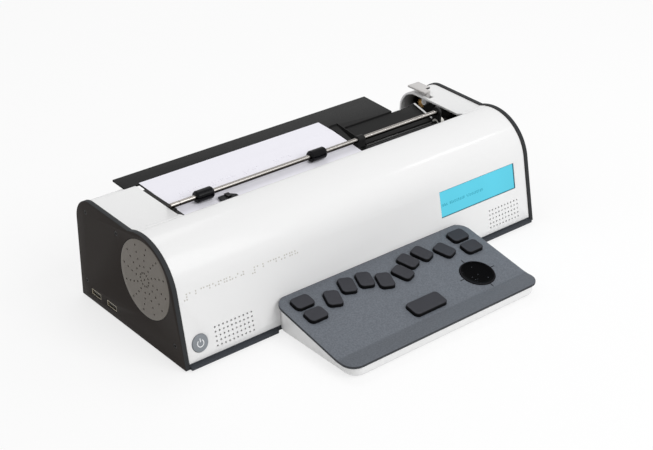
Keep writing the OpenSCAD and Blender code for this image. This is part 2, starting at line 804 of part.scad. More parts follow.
module left_side_plate() color(charcoal) machine() {
    difference() {
        along(-body_l / 2, plate_t) side_profile();
        bar(-body_l / 2 - eps, disc_t + eps, disc_c, disc_d + 2 * disc_gap);
        bar(-body_l / 2, 2 * plate_t, disc_c, disc_d - 2 * disc_ledge);
        for (i = [0, 1])
            translate([-body_l / 2 - eps, port_y(i) - port_w / 2 - port_gap, port_z - port_h / 2 - port_gap])
                cube([plate_t + 2 * eps, port_w + 2 * port_gap, port_h + 2 * port_gap]);
        mirror([1, 0, 0]) plate_holes();
    }
}

module right_side_plate() color(charcoal) machine() {
    difference() {
        along(inner_x, plate_t) side_profile();
        plate_holes();
    }
}

module front_cover() color(white) machine() {
    difference() {
        intersection() {
            cover_wall();
            translate([-far / 2, -far, strip_h]) cube([far, far + seam_y, far]);
        }
        on_slope(lcd_x, lcd_up) block(lcd_w, lcd_h, -far, eps);
        on_slope(button_x, button_up) translate([0, 0, -2 * cover_t])
            cylinder(d = button_d + 2 * button_gap, h = far);
        for (x = grille_x) on_slope(x, grille_up)
            for (i = [0:grille_cols - 1], j = [0:grille_rows - 1])
                translate([grille_pitch * (i - (grille_cols - 1) / 2),
                           grille_pitch * (j - (grille_rows - 1) / 2), -2 * cover_t])
                    cylinder(d = grille_hole_d, h = 4 * cover_t);
    }
}
lcd_x = inner_x - lcd_from_right;
button_x = button_from_left - inner_x;
grille_x = [left_grille_in - inner_x, inner_x - right_grille_in];

module rear_cover() color(white) machine() {
    difference() {
        intersection() {
            cover_wall();
            translate([-far / 2, seam_y + seam, strip_h]) cube([far, far, far]);
        }
        translate([open_l, seam_y - eps, back_wall_h]) cube([open_r - open_l, far, far]);
        translate([open_l - tray_wing - wing_gap, tray_end - tray_wing_d - wing_gap, back_wall_h])
            cube([tray_wing + wing_gap + eps, far, far]);
        translate([lever_x - lever_leg_w / 2 - lever_gap, lever_y - lever_slot, lever_z])
            cube([lever_leg_w + 2 * lever_gap, lever_slot + lever_leg_t / 2 + lever_gap, far]);
    }
    for (x = [lever_x - lever_leg_w / 2 - lever_gap - lever_lug_t, lever_x + lever_leg_w / 2 + lever_gap])
        difference() {
            along(x, lever_lug_t) {
                translate([lever_y - lever_hub_d / 2, lever_z])
                    square([lever_hub_d, lever_drop + cover_t / 2]);
                translate([lever_y, lever_z]) circle(d = lever_hub_d);
            }
            bar(x - eps, lever_lug_t + 2 * eps, [lever_y, lever_z], lever_pin_d + 2 * run_gap);
        }
    for (side = [0, 1], i = [0, 1]) mirror([side, 0, 0]) screw_boss(screw_at[i]) {
        translate([screw_at[i][0] - boss_d / 4, screw_at[i][1]]) square([boss_d / 2, far]);
    }
}

// A boss on the inside of the right plate; the child joins it to the piece it belongs to
module screw_boss(c) {
    intersection() {
        difference() {
            along(inner_x - boss_l, boss_l) {
                translate(c) circle(d = boss_d);
                children();
            }
            bar(inner_x - boss_l - eps, boss_l + 2 * eps, c, screw_d + 2 * fix_gap);
        }
        along(0, far) side_profile(cover_in - cover_t / 2);
    }
}

module rubber_feet() color("#222222") machine() {
    for (x = [-inner_x + foot_in, inner_x - foot_in], y = [foot_in, body_d - foot_in])
        translate([x, y, -foot_h]) cylinder(d = foot_d, h = foot_h);
    for (x = [-kb_foot_x, kb_foot_x], y = [-kb_front + foot_in, -foot_in])
        translate([x, y, -foot_h]) cylinder(d = kb_foot_d, h = foot_h);
}
kb_foot_x = kb_w / 2 - foot_in;

module speaker_disc() color("#7a7670") machine() {
    difference() {
        bar(-body_l / 2, disc_t, disc_c, disc_d);
        translate([-body_l / 2 - eps, disc_y, disc_z]) rotate([0, 90, 0]) {
            cylinder(d = disc_hole_d, h = disc_t + 2 * eps);
            for (i = [0:disc_rows - 1]) rotate(i * 360 / disc_rows) {
                translate([disc_ring_r, 0, 0]) cylinder(d = disc_hole_d, h = disc_t + 2 * eps);
                for (j = [0:disc_row_holes - 1]) rotate(j * disc_swirl)
                    translate([disc_first_r + j * disc_pitch, 0, 0])
                        cylinder(d = disc_hole_d, h = disc_t + 2 * eps);
            }
        }
    }
}

module side_speaker() color(dark) machine() {
    opening_d = disc_d - 2 * disc_ledge;
    bar(-inner_x, side_speaker_t, disc_c, opening_d + 2 * side_speaker_rim);
    translate([-inner_x + side_speaker_t, disc_y, disc_z]) rotate([0, 90, 0])
        cylinder(d1 = opening_d, d2 = side_speaker_magnet, h = side_speaker_cone);
    bar(-inner_x + side_speaker_t + side_speaker_cone, side_speaker_l, disc_c, side_speaker_magnet);
}

module front_speakers() color(dark) machine() {
    for (x = grille_x) on_slope(x, grille_up)
        translate([0, 0, -cover_t - speaker_l]) cylinder(d = speaker_d, h = speaker_l);
}

module lcd_module() color("#62d2ea") machine() {
    on_slope(lcd_x, lcd_up) {
        block(lcd_w - 2 * lcd_gap, lcd_h - 2 * lcd_gap, -cover_t - eps, -lcd_recess);
        block(lcd_w + 2 * lcd_lap, lcd_h + 2 * lcd_lap, -cover_t - lcd_depth, -cover_t);
    }
}

module power_button() color("#8c9196") machine() {
    back = -cover_t - seam;
    on_slope(button_x, button_up) {
        translate([0, 0, back - eps]) cylinder(d = button_d, h = button_proud - back + eps);
        translate([0, 0, back - button_flange_t])
            cylinder(d = button_d + 2 * button_lap, h = button_flange_t);
        translate([0, 0, back - button_flange_t - button_stem_l])
            cylinder(d = button_d / 2, h = button_stem_l + eps);
    }
}

module plate_screws() color(steel) machine() {
    for (side = [0, 1], s = screw_at) mirror([side, 0, 0]) {
        bar(body_l / 2 - screw_head_h, screw_head_h, s, screw_head_d);
        bar(inner_x - screw_in, plate_t + screw_in - screw_head_h, s, screw_d);
    }
}

module side_ports() color(steel) machine() {
    for (i = [0, 1]) translate([-body_l / 2 + port_sink, port_y(i) - port_w / 2, port_z - port_h / 2]) {
        difference() {
            cube([port_l, port_w, port_h]);
            translate([-eps, port_wall, port_wall])
                cube([port_mouth + eps, port_w - 2 * port_wall, port_h - 2 * port_wall]);
        }
        translate([eps, 2 * port_wall, (port_h - port_tongue) / 2])
            cube([port_mouth, port_w - 4 * port_wall, port_tongue]);
    }
}

module main_board() color("#2f6b3c") machine() {
    translate([board_x, board_y, floor_t + board_up]) {
        cube([board_l, board_d, board_t]);
        for (k = chip_at) translate([k[0] * board_l, k[1] * board_d, board_t])
            block(k[2] * board_l, k[3] * board_d, -eps, board_t);
    }
}

module battery() color("#34506b") machine() {
    translate([board_x, battery_y, floor_t]) cube([battery_l, battery_d, battery_h]);
}

// Profile of the tray between two depths
module tray_band(y0, y1, top, t) {
    polygon([[y0, tray_at(y0) - top - t], [y1, tray_at(y1) - top - t],
             [y1, tray_at(y1) - top], [y0, tray_at(y0) - top]]);
}

module paper_tray() color(charcoal) machine() {
    notch_x = guide_x + guide_w + guide_lip_w;
    wing_x = open_l - tray_wing;
    leg_y = body_d - cover_in - tray_leg_t;
    intersection() {
        along(-far / 2, far) tray_band(tray_y, tray_end, 0, tray_t);
        linear_extrude(far) polygon([
            [paper_x, tray_y + tray_notch], [notch_x, tray_y + tray_notch], [notch_x, tray_y],
            [tray_x1, tray_y], [tray_x1, tray_end], [wing_x, tray_end],
            [wing_x, tray_end - tray_wing_d], [paper_x, tray_end - tray_wing_d]]);
    }
    for (x = [paper_x + tray_leg_in, tray_x1 - tray_leg_in])
        translate([x, leg_y, back_wall_h - tray_leg_l])
            cube([tray_leg_w, tray_leg_t, tray_at(leg_y) - tray_t / 2 - back_wall_h + tray_leg_l]);
}

module platen() color(charcoal) machine() {
    along(rail_x + rail_w, right_frame_x - rail_x - rail_w) polygon([
        [platen_y, platen_at(platen_y)], [tray_y, platen_z],
        [tray_y, platen_z - platen_t], [platen_y, platen_at(platen_y) - platen_t]]);
    along(paper_x, tray_x1 - paper_x) tray_band(tray_y - eps / 4, tray_y + platen_flange, tray_t, platen_t);
}

module anvil_bar() color(dark) machine() {
    translate([rail_x + rail_w, anvil_y, anvil_z - anvil_h])
        cube([right_frame_x - rail_x - rail_w, anvil_w, anvil_h]);
}

module left_paper_rail() color(dark) machine() {
    y0 = seam_y + 2 * seam;
    y1 = dip_y + rail_back;
    top = cover_drop + rail_drop;
    difference() {
        union() {
            along(rail_x, rail_w) polygon([[y0, deck_at(y0, top)], [y1, deck_at(y1, top)],
                [y1, deck_at(y1, top) - rail_h], [y0, deck_at(y0, top) - rail_h]]);
            bar(rail_x, rail_w, [shaft_y, pinch_z], 2 * ear_r);
        }
        bar(rail_x - eps, rail_w + 2 * eps, [shaft_y, pinch_z], pinch_shaft_d + 2 * run_gap);
        bar(rail_x - eps, rail_w + 2 * eps, [shaft_y, drive_z], drive_shaft_d + 2 * rail_gap);
        translate([rail_x - eps, y0 - far, pinch_z - pinch_shaft_d / 4])
            cube([rail_w + 2 * eps, 2 * far, far]);
    }
}

// Profile of a strip that follows the sheet, from rise above it and t thick
module sheet_band(y0, y1, rise, t) {
    polygon([[y0, paper_z(y0) + rise - t], [y1, paper_z(y1) + rise - t],
             [y1, paper_z(y1) + rise], [y0, paper_z(y0) + rise]]);
}

module right_paper_guide() color(charcoal) machine() {
    y0 = dip_y - guide_fore;
    y1 = dip_y + guide_back;
    hub_x = guide_x + guide_hub_in;
    lip = guide_lip_h;
    along(guide_x, guide_w) sheet_band(y0, y1, guide_rise, guide_t);
    along(guide_x + guide_w - guide_lip_w, guide_lip_w)
        sheet_band(nose_y + eps, y1, guide_rise + lip, lip + guide_t / 2);
    along(guide_x, guide_w) sheet_band(y1 - guide_lip_w, y1, guide_rise + lip, lip + guide_t / 2);
    difference() {
        union() {
            bar(hub_x, guide_hub_l, [shaft_y, pinch_z], guide_hub_d);
            along(hub_x, guide_hub_l) polygon([
                [shaft_y - guide_hub_d / 2, pinch_z], [shaft_y + guide_hub_d / 2, pinch_z],
                [shaft_y + guide_hub_d / 2, paper_z(shaft_y) + guide_rise],
                [shaft_y - guide_hub_d / 2, paper_z(shaft_y) + guide_rise - guide_t]]);
        }
        bar(hub_x - eps, guide_hub_l + 2 * eps, [shaft_y, pinch_z], pinch_shaft_d + 2 * run_gap);
    }
}

// Path of the sheet: over the tray and rollers, then round two bends to the floor of the machine
bend_c = [dip_y - paper_bend_y + paper_bend_r * sin(paper_slope),
    paper_z(dip_y - paper_bend_y) - paper_bend_r * cos(paper_slope)];
drop_y = bend_c[0] - paper_bend_r;
low_z = floor_t + paper_low;
low_c = [drop_y + paper_bend_r, low_z + paper_bend_r];
paper_end = dip_y + paper_back;
paper_used = (paper_end - tray_y) / cos(tray_slope) + (tray_y - dip_y + paper_bend_y) / cos(paper_slope)
    + paper_bend_r * PI / 180 * (90 - paper_slope) + bend_c[1] - low_c[1] + paper_bend_r * PI / 2;

module quarter(c, a0, a1) {
    reach = 2 * paper_bend_r;
    intersection() {
        difference() {
            translate(c) circle(paper_bend_r);
            translate(c) circle(paper_bend_r - paper_t);
        }
        translate(c) polygon([[0, 0], reach * [cos(a0), sin(a0)], reach * sqrt(2) * [cos((a0 + a1) / 2),
            sin((a0 + a1) / 2)], reach * [cos(a1), sin(a1)]]);
    }
}

module paper_sheet() color("#ebeaf2") machine() {
    along(paper_x, paper_w) {
        translate([0, tray_gap]) tray_band(tray_y - paper_t, paper_end, -paper_t, paper_t);
        sheet_band(dip_y - paper_bend_y - paper_t, tray_y, 0, paper_t);
        quarter(bend_c, 90 + paper_slope, 180);
        translate([drop_y, low_c[1] - paper_t]) square([paper_t, bend_c[1] - low_c[1] + 2 * paper_t]);
        quarter(low_c, 180, 270);
        translate([low_c[0] - paper_t, low_z]) square([paper_l - paper_used + paper_t, paper_t]);
    }
}

module pinch_shaft() color(steel) machine() {
    x0 = rail_x + seam;
    bar(x0, right_frame_x + frame_t + pinch_out - x0, [shaft_y, pinch_z], pinch_shaft_d);
}

module roller_pair(z, d, shaft_d) {
    for (x = roller_x) difference() {
        bar(x, roller_l, [shaft_y, z], d);
        bar(x - eps, roller_l + 2 * eps, [shaft_y, z], shaft_d);
    }
}

module pinch_rollers() color(dark) machine() {
    roller_pair(pinch_z, pinch_roller_d, pinch_shaft_d);
}

module drive_shaft() color(steel) machine() {
    x0 = left_frame_x - shaft_out;
    bar(x0, gear_plate_x + gear_plate_t - x0, [shaft_y, drive_z], drive_shaft_d);
}

module drive_rollers() color(dark) machine() {
    roller_pair(drive_z, drive_roller_d, drive_shaft_d);
}

// A spur gear with straight slender teeth; half a tooth is given by its height and width in modules
tooth_root = 1.15;
tooth_half = [[-1.5, 0.82], [0, 0.6], [0.85, 0.28]];
module gear_2d(n) {
    circle(gear_m * (n / 2 - tooth_root));
    for (i = [0:n - 1]) rotate(i * 360 / n) polygon(gear_m * concat(
        [for (p = tooth_half) [n / 2 + p[0], -p[1]]],
        [for (k = [2, 1, 0]) [n / 2 + tooth_half[k][0], tooth_half[k][1]]]));
}

module gear(c, n, turn, bore) {
    along(gear_x, gear_w) difference() {
        translate(c) rotate(turn) gear_2d(n);
        translate(c) circle(d = bore);
    }
}

module drive_gear() color("white") machine() {
    gear(drive_c, drive_teeth, drive_turn, drive_shaft_d);
}

module idler_gear() color("white") machine() {
    gear(idler_c, idler_teeth, idler_turn, stud_d + 2 * run_gap);
}

module motor_pinion() color("goldenrod") machine() {
    along(gear_x, gear_w) translate(pinion_c) rotate(pinion_turn) gear_2d(pinion_teeth);
    bar(gear_x, gear_plate_x + gear_plate_t + feed_motor_l / 2 - gear_x, pinion_c, motor_shaft_d);
}

module feed_motor() color("#55585c") machine() {
    x0 = gear_plate_x + gear_plate_t;
    difference() {
        bar(x0, feed_motor_l, pinion_c, feed_motor_d);
        bar(x0 - eps, feed_motor_l / 2 + 2 * eps, pinion_c, motor_shaft_d + 2 * run_gap);
    }
}

// Holes that both frame plates share: rods, drive shaft bush and the window for the belt
module frame_holes(x) {
    for (z = [rod_low, rod_high]) bar(x - eps, frame_t + 2 * eps, [rod_y, z], rod_d + 2 * fix_gap);
    bar(x - eps, frame_t + 2 * eps, drive_c, bush_d + 2 * fix_gap);
    translate([x - eps, rod_y - slot_d / 2, belt_z - slot_h / 2]) cube([frame_t + 2 * eps, slot_d, slot_h]);
}

frame_top = deck_z - cover_in - frame_drop;
module left_frame() color("#9a9c9e") machine() {
    difference() {
        along(left_frame_x, frame_t) polygon([
            [frame_front, floor_t], [frame_rear, floor_t], [frame_rear, frame_rear_z], [tray_y, frame_top],
            [carriage_y1, frame_top - carriage_d / 4], [frame_front, frame_front_z]]);
        frame_holes(left_frame_x);
    }
}

module right_frame() color("#b9bbbd") machine() {
    low = anvil_z - anvil_gap;
    difference() {
        along(right_frame_x, frame_t) {
            polygon([
                [frame_front, floor_t], [frame_rear, floor_t], [frame_rear, frame_rear_z],
                [tray_y, tray_z], [shaft_y + ear_r, low],
                [carriage_y1, low - frame_drop], [frame_front, frame_front_z]]);
            translate([shaft_y, pinch_z]) circle(ear_r);
            translate([shaft_y - ear_r, low - ear_r]) square([2 * ear_r, pinch_z - low + ear_r]);
        }
        frame_holes(right_frame_x);
        bar(right_frame_x - eps, frame_t + 2 * eps, [shaft_y, pinch_z], pinch_shaft_d + 2 * run_gap);
    }
}

module gear_plate() color("#9a9c9e") machine() {
    top = deck_z - cover_in - frame_drop;
    y1 = pinion_c[0] + feed_motor_d / 2;
    difference() {
        along(gear_plate_x, gear_plate_t) polygon([
            [shaft_y - feed_motor_d / 2, floor_t], [y1, floor_t], [y1, pinion_c[1] - pinion_drop],
            [pinion_c[0] + pinion_drop / 2, pinion_c[1] + pinion_drop], [pinion_c[0] - pinion_drop, top],
            [shaft_y - feed_motor_d / 2, top]]);
        bar(gear_plate_x - eps, gear_plate_t + 2 * eps, drive_c, drive_shaft_d + 2 * run_gap);
        bar(gear_plate_x - eps, gear_plate_t + 2 * eps, pinion_c, motor_shaft_d + 2 * rail_gap);
    }
    bar(gear_x, gear_plate_x - gear_x + eps, idler_c, stud_d);
}

module shaft_bushes() color("white") machine() {
    bore = drive_shaft_d + 2 * run_gap;
    right = right_frame_x + frame_t;
    difference() {
        union() {
            bar(left_frame_x, frame_t, drive_c, bush_d);
            bar(left_frame_x - bush_flange_t, bush_flange_t, drive_c, bush_flange_d);
            bar(right_frame_x, frame_t, drive_c, bush_d);
            bar(right, bush_flange_t, drive_c, bush_flange_d);
            bar(right, bush_flange_t + bush_nose_l, drive_c, bush_d);
        }
        bar(-far / 2, far, drive_c, bore);
    }
}

module carriage_rods() color(steel) machine() {
    for (z = [rod_low, rod_high])
        bar(left_frame_x, right_frame_x + frame_t - left_frame_x, [rod_y, z], rod_d);
}

module head_carriage() color("#47494d") machine() {
    x0 = head_x - carriage_w / 2;
    difference() {
        along(x0, carriage_w) polygon([
            [carriage_y0, carriage_z0], [carriage_y0, carriage_z1 - carriage_cut],
            [carriage_y0 + carriage_cut - nose_t, carriage_z1],
            [carriage_y1, carriage_z1], [carriage_y1, carriage_z0]]);
        for (z = [rod_low, rod_high]) bar(x0 - eps, carriage_w + 2 * eps, [rod_y, z], rod_d + 2 * run_gap);
        translate([x0 - eps, rod_y - slot_d / 2, belt_z - slot_h / 2])
            cube([carriage_w + 2 * eps, slot_d, slot_h]);
    }
}

// Middle of pin i across the nose and j along it
function pin_at(i, j) = [head_x + (i - 0.5) * pin_pitch, nose_y - pin_d - j * pin_pitch];

module emboss_nose() color(dark) machine() {
    y0 = bend_c[0] - paper_bend_r * sin(paper_slope);
    right = head_x + nose_w / 2;
    difference() {
        along(head_x - nose_w / 2, nose_w) polygon([
            [carriage_y1, nose_foot], [carriage_y1, carriage_z1], [y0, nose_z(y0) + nose_t],
            [nose_y, nose_z(nose_y) + nose_t], [nose_y, nose_z(nose_y)], [y0, nose_z(y0)],
            [(carriage_y1 + y0) / 2, (nose_foot + nose_z(y0)) / 2 + nose_t],
            [carriage_y1 + nose_t, nose_foot]]);
        for (i = [0, 1], j = [0, 1, 2])
            translate([pin_at(i, j)[0], pin_at(i, j)[1], 0]) cylinder(d = pin_d + 2 * pin_gap, h = far);
        linear_extrude(far) polygon([
            [right - nose_cut_w, nose_y], [right, nose_y - nose_cut_d], [right + eps, nose_y - nose_cut_d],
            [right + eps, nose_y + eps], [right - nose_cut_w, nose_y + eps]]);
    }
}

module emboss_pins() color(dark) machine() {
    top = nose_z(nose_y) + nose_t + pin_stroke + seam;
    for (i = [0, 1], j = [0, 1, 2]) {
        y = pin_at(i, j)[1];
        translate([pin_at(i, j)[0], y, nose_z(y)]) cylinder(d = pin_d, h = top - nose_z(y) + seam);
    }
    translate([head_x, pin_at(0, 1)[1], 0])
        block(pin_pitch + 2 * pin_d, 2 * pin_pitch + 1.5 * pin_d, top, top + pin_d / 2);
}

// The belt's line at a distance from the pulleys
module belt_loop(out) {
    d = pulley_d + 2 * (belt_gap + out);
    translate([pulley_lx, rod_y - d / 2]) square([pulley_rx - pulley_lx, d]);
    translate([pulley_lx, rod_y]) circle(d = d);
    translate([pulley_rx, rod_y]) circle(d = d);
}

module carriage_belt() color("#1d1d1f") machine() {
    translate([0, 0, belt_z - belt_w / 2]) linear_extrude(belt_w) difference() {
        belt_loop(belt_t);
        belt_loop(0);
    }
}

module belt_motor() color("#55585c") machine() {
    translate([pulley_lx, rod_y, belt_motor_z]) difference() {
        cylinder(d = belt_motor_d, h = belt_motor_l);
        translate([0, 0, belt_motor_l / 2]) cylinder(d = motor_shaft_d + 2 * run_gap, h = belt_motor_l);
    }
}

module drive_pulley() color("#8f9193") machine() {
    translate([pulley_lx, rod_y, belt_z - belt_w / 2]) {
        cylinder(d = pulley_d, h = belt_w);
        translate([0, 0, -motor_gap - belt_motor_l / 3])
            cylinder(d = motor_shaft_d, h = belt_motor_l / 3 + motor_gap);
    }
}

module idler_pulley() color("#8f9193") machine() {
    translate([pulley_rx, rod_y, belt_z - belt_w / 2]) difference() {
        cylinder(d = pulley_d, h = belt_w);
        translate([0, 0, -eps]) cylinder(d = motor_shaft_d + 2 * run_gap, h = belt_w + 2 * eps);
    }
}

module release_lever() color("#cfd2d6") machine() {
    tab_z = cap_z + lever_lift;
    pin_l = lever_leg_w + 2 * (lever_gap + lever_lug_t);
    bar(lever_x - lever_leg_w / 2, lever_leg_w, [lever_y, lever_z], lever_hub_d);
    bar(lever_x - pin_l / 2, pin_l, [lever_y, lever_z], lever_pin_d);
    translate([lever_x, lever_y, 0]) block(lever_leg_w, lever_leg_t, lever_z, tab_z + lever_tab_t / 2);
    translate([lever_x, lever_y - lever_fore, tab_z]) linear_extrude(lever_tab_t) polygon([
        [-lever_tab_left, 0], [lever_finger, 0], [lever_finger, lever_finger_l],
        [lever_tab_right, lever_finger_l], [lever_tab_right, lever_tab_l], [-lever_tab_left, lever_tab_l]]);
}

// Everything in front of the machine's sloping front, at a distance from it
module before_front(gap) {
    on_slope(0, 0) translate([-far / 2, -far / 2, gap]) cube([far, far, far]);
}

// Plan of the keyboard, moved in by inset and at its ends by side as well
module kb_plan(inset, side = 0) {
    w = kb_w - 2 * inset - 2 * side;
    l = kb_front + kb_rear - inset;
    translate([0, kb_rear - l / 2, -far / 2]) linear_extrude(far) round_rect(w, l, kb_corner_r - inset);
}

// Profile below the panel's top, from depth d down to height z
module kb_under(d, z) {
    y = kb_crease_y + d * tan(kb_slope / 2);
    polygon([
        [far / 4, kb_rear_z + far / 4 * tan(kb_slope) - d / cos(kb_slope)], [y, kb_crease_z - d],
        [-far / 4, kb_crease_z - d], [-far / 4, z], [far / 4, z]]);
}

module keyboard_panel() color("#6a7078") machine() {
    difference() {
        intersection() {
            difference() {
                along(-far / 2, far) kb_under(0, 0);
                along(-far, 2 * far) kb_under(kb_panel_t, -eps);
            }
            kb_plan(0);
            before_front(kb_gap);
        }
        key_holes();
        on_panel(nav_x, -nav_down, -far / 2) cylinder(d = nav_d + 2 * nav_gap, h = far);
    }
}

module keyboard_base() color(white) machine() {
    difference() {
        intersection() {
            along(-far / 2, far) kb_under(kb_panel_t, 0);
            kb_plan(kb_over, kb_side_in);
            before_front(kb_gap);
        }
        intersection() {
            along(-far / 2, far) kb_under(-eps, kb_wall);
            kb_plan(kb_over + kb_wall, kb_side_in);
            before_front(kb_gap + kb_wall);
        }
        for (x = [-tongue_x, tongue_x])
            translate([x - tongue_w / 2 - tongue_gap, -tongue_l - tongue_gap, kb_wall])
                cube([tongue_w + 2 * tongue_gap, far, tongue_t + 2 * tongue_gap]);
    }
    intersection() {
        along(-far / 2, far) kb_under(kb_panel_t, kb_wall / 2);
        for (x = [-kb_foot_x, kb_foot_x], v = [-kb_board_down + post_d, -kb_board_rear - post_d])
            on_panel(x, v, board_n - kb_board_t - far) cylinder(d = post_d, h = far);
    }
}

module keyboard_board() color("#2f6b3c") machine() {
    on_panel(0, -(kb_board_down + kb_board_rear) / 2)
        block(kb_board_w, kb_board_down - kb_board_rear, board_n - kb_board_t, board_n);
    for (k = concat(dot_keys(1), dot_keys(-1), fn_keys, [space_spec]))
        on_panel(k[0], k[1]) block(switch_w, switch_w, board_n - kb_board_t / 2, switch_n);
    on_panel(nav_x, -nav_down, board_n - kb_board_t / 2)
        cylinder(d = gimbal_d / 2, h = gimbal_n - gimbal_t - gimbal_gap - board_n + kb_board_t / 2);
}
gimbal_n = nav_h - nav_t - nav_boss_l - gimbal_gap;

// Keys as place along and down the panel, width, length and turn
function dot_keys(side) = [for (d = dot_at) [side * d[0], -d[1], dot_w, dot_l, side * dot_turn]];
fn_keys = [for (side = [-1, 1], i = [0, 1]) [side * fn_x, -fn_rear - i * fn_pitch, fn_w, fn_l, 0]];
space_spec = [0, -space_down, space_w, space_l, 0];

module key_holes() {
    for (k = concat(dot_keys(1), dot_keys(-1), fn_keys, [space_spec]))
        on_panel(k[0], k[1], -far / 2) rotate(k[4]) linear_extrude(far)
            round_rect(k[2] + 2 * key_gap, k[3] + 2 * key_gap, key_r + key_gap);
}

module key(k) color("#2f3136") machine() {
    out = key_gap + key_lap;
    on_panel(k[0], k[1]) rotate(k[4]) {
        translate([0, 0, flange_n - key_flange_t / 2]) linear_extrude(key_h - flange_n + key_flange_t / 2)
            round_rect(k[2], k[3], key_r);
        translate([0, 0, flange_n - key_flange_t]) linear_extrude(key_flange_t)
            round_rect(k[2] + 2 * out, k[3] + 2 * out, key_r + out);
        rotate(-k[4]) block(switch_w, switch_w, stem_n, flange_n - key_flange_t / 2);
    }
}

module nav_disc() color("#111113") machine() {
    on_panel(nav_x, -nav_down, nav_h - nav_t) {
        cylinder(d = nav_d, h = nav_t);
        translate([0, 0, -nav_boss_l]) cylinder(d = gimbal_d / 2, h = nav_boss_l + eps);
    }
}

module nav_gimbal() color(steel) machine() {
    on_panel(nav_x, -nav_down, gimbal_n - gimbal_t) cylinder(d = gimbal_d, h = gimbal_t);
}

base_tray();
left_side_plate();
right_side_plate();
front_cover();
rear_cover();
rubber_feet();
speaker_disc();
side_speaker();
front_speakers();
lcd_module();
power_button();
plate_screws();
side_ports();
main_board();
battery();
paper_tray();
platen();
anvil_bar();
left_paper_rail();
right_paper_guide();
paper_sheet();
pinch_shaft();
pinch_rollers();
drive_shaft();
drive_rollers();
drive_gear();
idler_gear();
motor_pinion();
feed_motor();
left_frame();
right_frame();
gear_plate();
shaft_bushes();
carriage_rods();
head_carriage();
emboss_nose();
emboss_pins();
carriage_belt();
belt_motor();
drive_pulley();
idler_pulley();
release_lever();
keyboard_base();
keyboard_panel();
keyboard_board();
key(space_spec);  // space_key
nav_disc();
nav_gimbal();
for (i = [1:4]) {
    key(dot_keys(-1)[i - 1]);
    key(dot_keys(1)[i - 1]);
}
for (i = [1:2]) {
    key(fn_keys[i - 1]);
    key(fn_keys[i + 1]);
}
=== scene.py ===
import json
import math

import bmesh
import bpy
from bpy.props import FloatProperty, FloatVectorProperty, PointerProperty
from bpy.types import Operator, Panel, PropertyGroup
from mathutils import Matrix, Vector

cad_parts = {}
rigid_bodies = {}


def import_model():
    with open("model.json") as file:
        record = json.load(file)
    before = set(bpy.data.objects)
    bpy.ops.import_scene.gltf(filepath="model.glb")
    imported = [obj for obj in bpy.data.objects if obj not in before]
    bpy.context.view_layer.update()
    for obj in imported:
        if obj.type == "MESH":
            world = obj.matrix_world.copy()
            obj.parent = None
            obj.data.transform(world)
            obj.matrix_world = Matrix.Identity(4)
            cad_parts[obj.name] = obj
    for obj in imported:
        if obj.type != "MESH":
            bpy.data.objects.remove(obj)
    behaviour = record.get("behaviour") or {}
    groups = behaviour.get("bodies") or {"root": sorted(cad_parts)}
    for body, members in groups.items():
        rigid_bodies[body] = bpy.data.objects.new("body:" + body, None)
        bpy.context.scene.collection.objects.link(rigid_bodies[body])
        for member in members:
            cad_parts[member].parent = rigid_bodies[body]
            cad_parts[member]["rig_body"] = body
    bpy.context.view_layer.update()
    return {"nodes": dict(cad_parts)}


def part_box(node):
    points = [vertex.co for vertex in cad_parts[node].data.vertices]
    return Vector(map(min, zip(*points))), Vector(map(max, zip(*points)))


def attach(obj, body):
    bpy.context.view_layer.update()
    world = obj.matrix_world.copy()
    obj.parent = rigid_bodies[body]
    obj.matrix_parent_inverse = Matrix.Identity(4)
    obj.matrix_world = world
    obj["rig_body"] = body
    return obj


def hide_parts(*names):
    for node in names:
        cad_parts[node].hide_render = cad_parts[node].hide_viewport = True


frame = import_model()

bl_info = {
    "name": "Braille writer dressing",
    "version": (1, 0, 0),
    "blender": (4, 5, 0),
    "location": "View3D > Sidebar > Braille writer",
    "description": "Finishes, keys, dots and small fittings for the braille writer's CAD frame",
    "category": "Object",
}

MM = 0.001
# The machine's own frame: front foot of the side plates, underside of the base
FOOT = Vector((0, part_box("left_side_plate")[0].y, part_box("left_side_plate")[0].z))


def corners(node):
    """A CAD node's lowest and highest corners in the machine's frame, in millimetres."""
    return [(corner - FOOT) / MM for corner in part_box(node)]


def centre(node):
    low, high = corners(node)
    return (low + high) / 2


# Lines read from the frame, in millimetres
OUTER_X = corners("right_side_plate")[1].x
INNER_X = corners("front_cover")[1].x
DECK_FRONT = corners("rear_cover")[0].y
SHEET_LEFT = corners("paper_sheet")[0].x
FEED_AXIS = centre("pinch_shaft")
DISC_CENTRE = centre("speaker_disc")
# Lines that the CAD part and this script share, in millimetres and radians
LEAN = math.radians(12.2)
COVER_STEP = 1.0
PANEL_TILT = math.radians(10.76)
PANEL_REAR = 27.8
PANEL_CREASE = -82.4
SHEET_DIP = (DECK_FRONT + 9.3, 97.7)
SHEET_TILT = math.radians(7.6)
# Feet: distance from the middle, place along the depth, radius
FEET = ((193, 22, 8), (193, 147.5, 8), (97, -80.4, 6), (97, -22, 6))
FOOT_H, FOOT_CHAMFER = 1.5, 0.5
# Screws of a side plate: place along the depth, height
SCREWS = ((152.5, 93.2), (DECK_FRONT + 28.5, 93.2), (159.1, 18.8), (15.3, 18.8))
SCREW_R, SCREW_SIDE, SCREW_CHAMFER, SCREW_SINK = 2.55, 0.9, 0.3, 0.1
SOCKET_R, SOCKET_DEEP = 1.35, 0.8
# Distance from the disc's centre past which only its rim lies
DISC_RIM = 35.0
# Ports: width of one, then its tongue's and contacts' sizes and how far in their middles lie
PORT_W = 16.0
TONGUE, TONGUE_IN = (9.4, 13.8, 1.8), 5.6
CONTACT, CONTACT_IN = (8.0, 1.2, 0.3), 5.3
CONTACTS, CONTACT_PITCH = 4, 3.0
SHAFT_R, SHAFT_STEP = 2.5, 0.4
# Groove near the shaft's left end: its start, both ends of its floor, and its end
GROOVE = (8.6, 8.8, 9.8, 10.0)
ROLLER_L = 18.8
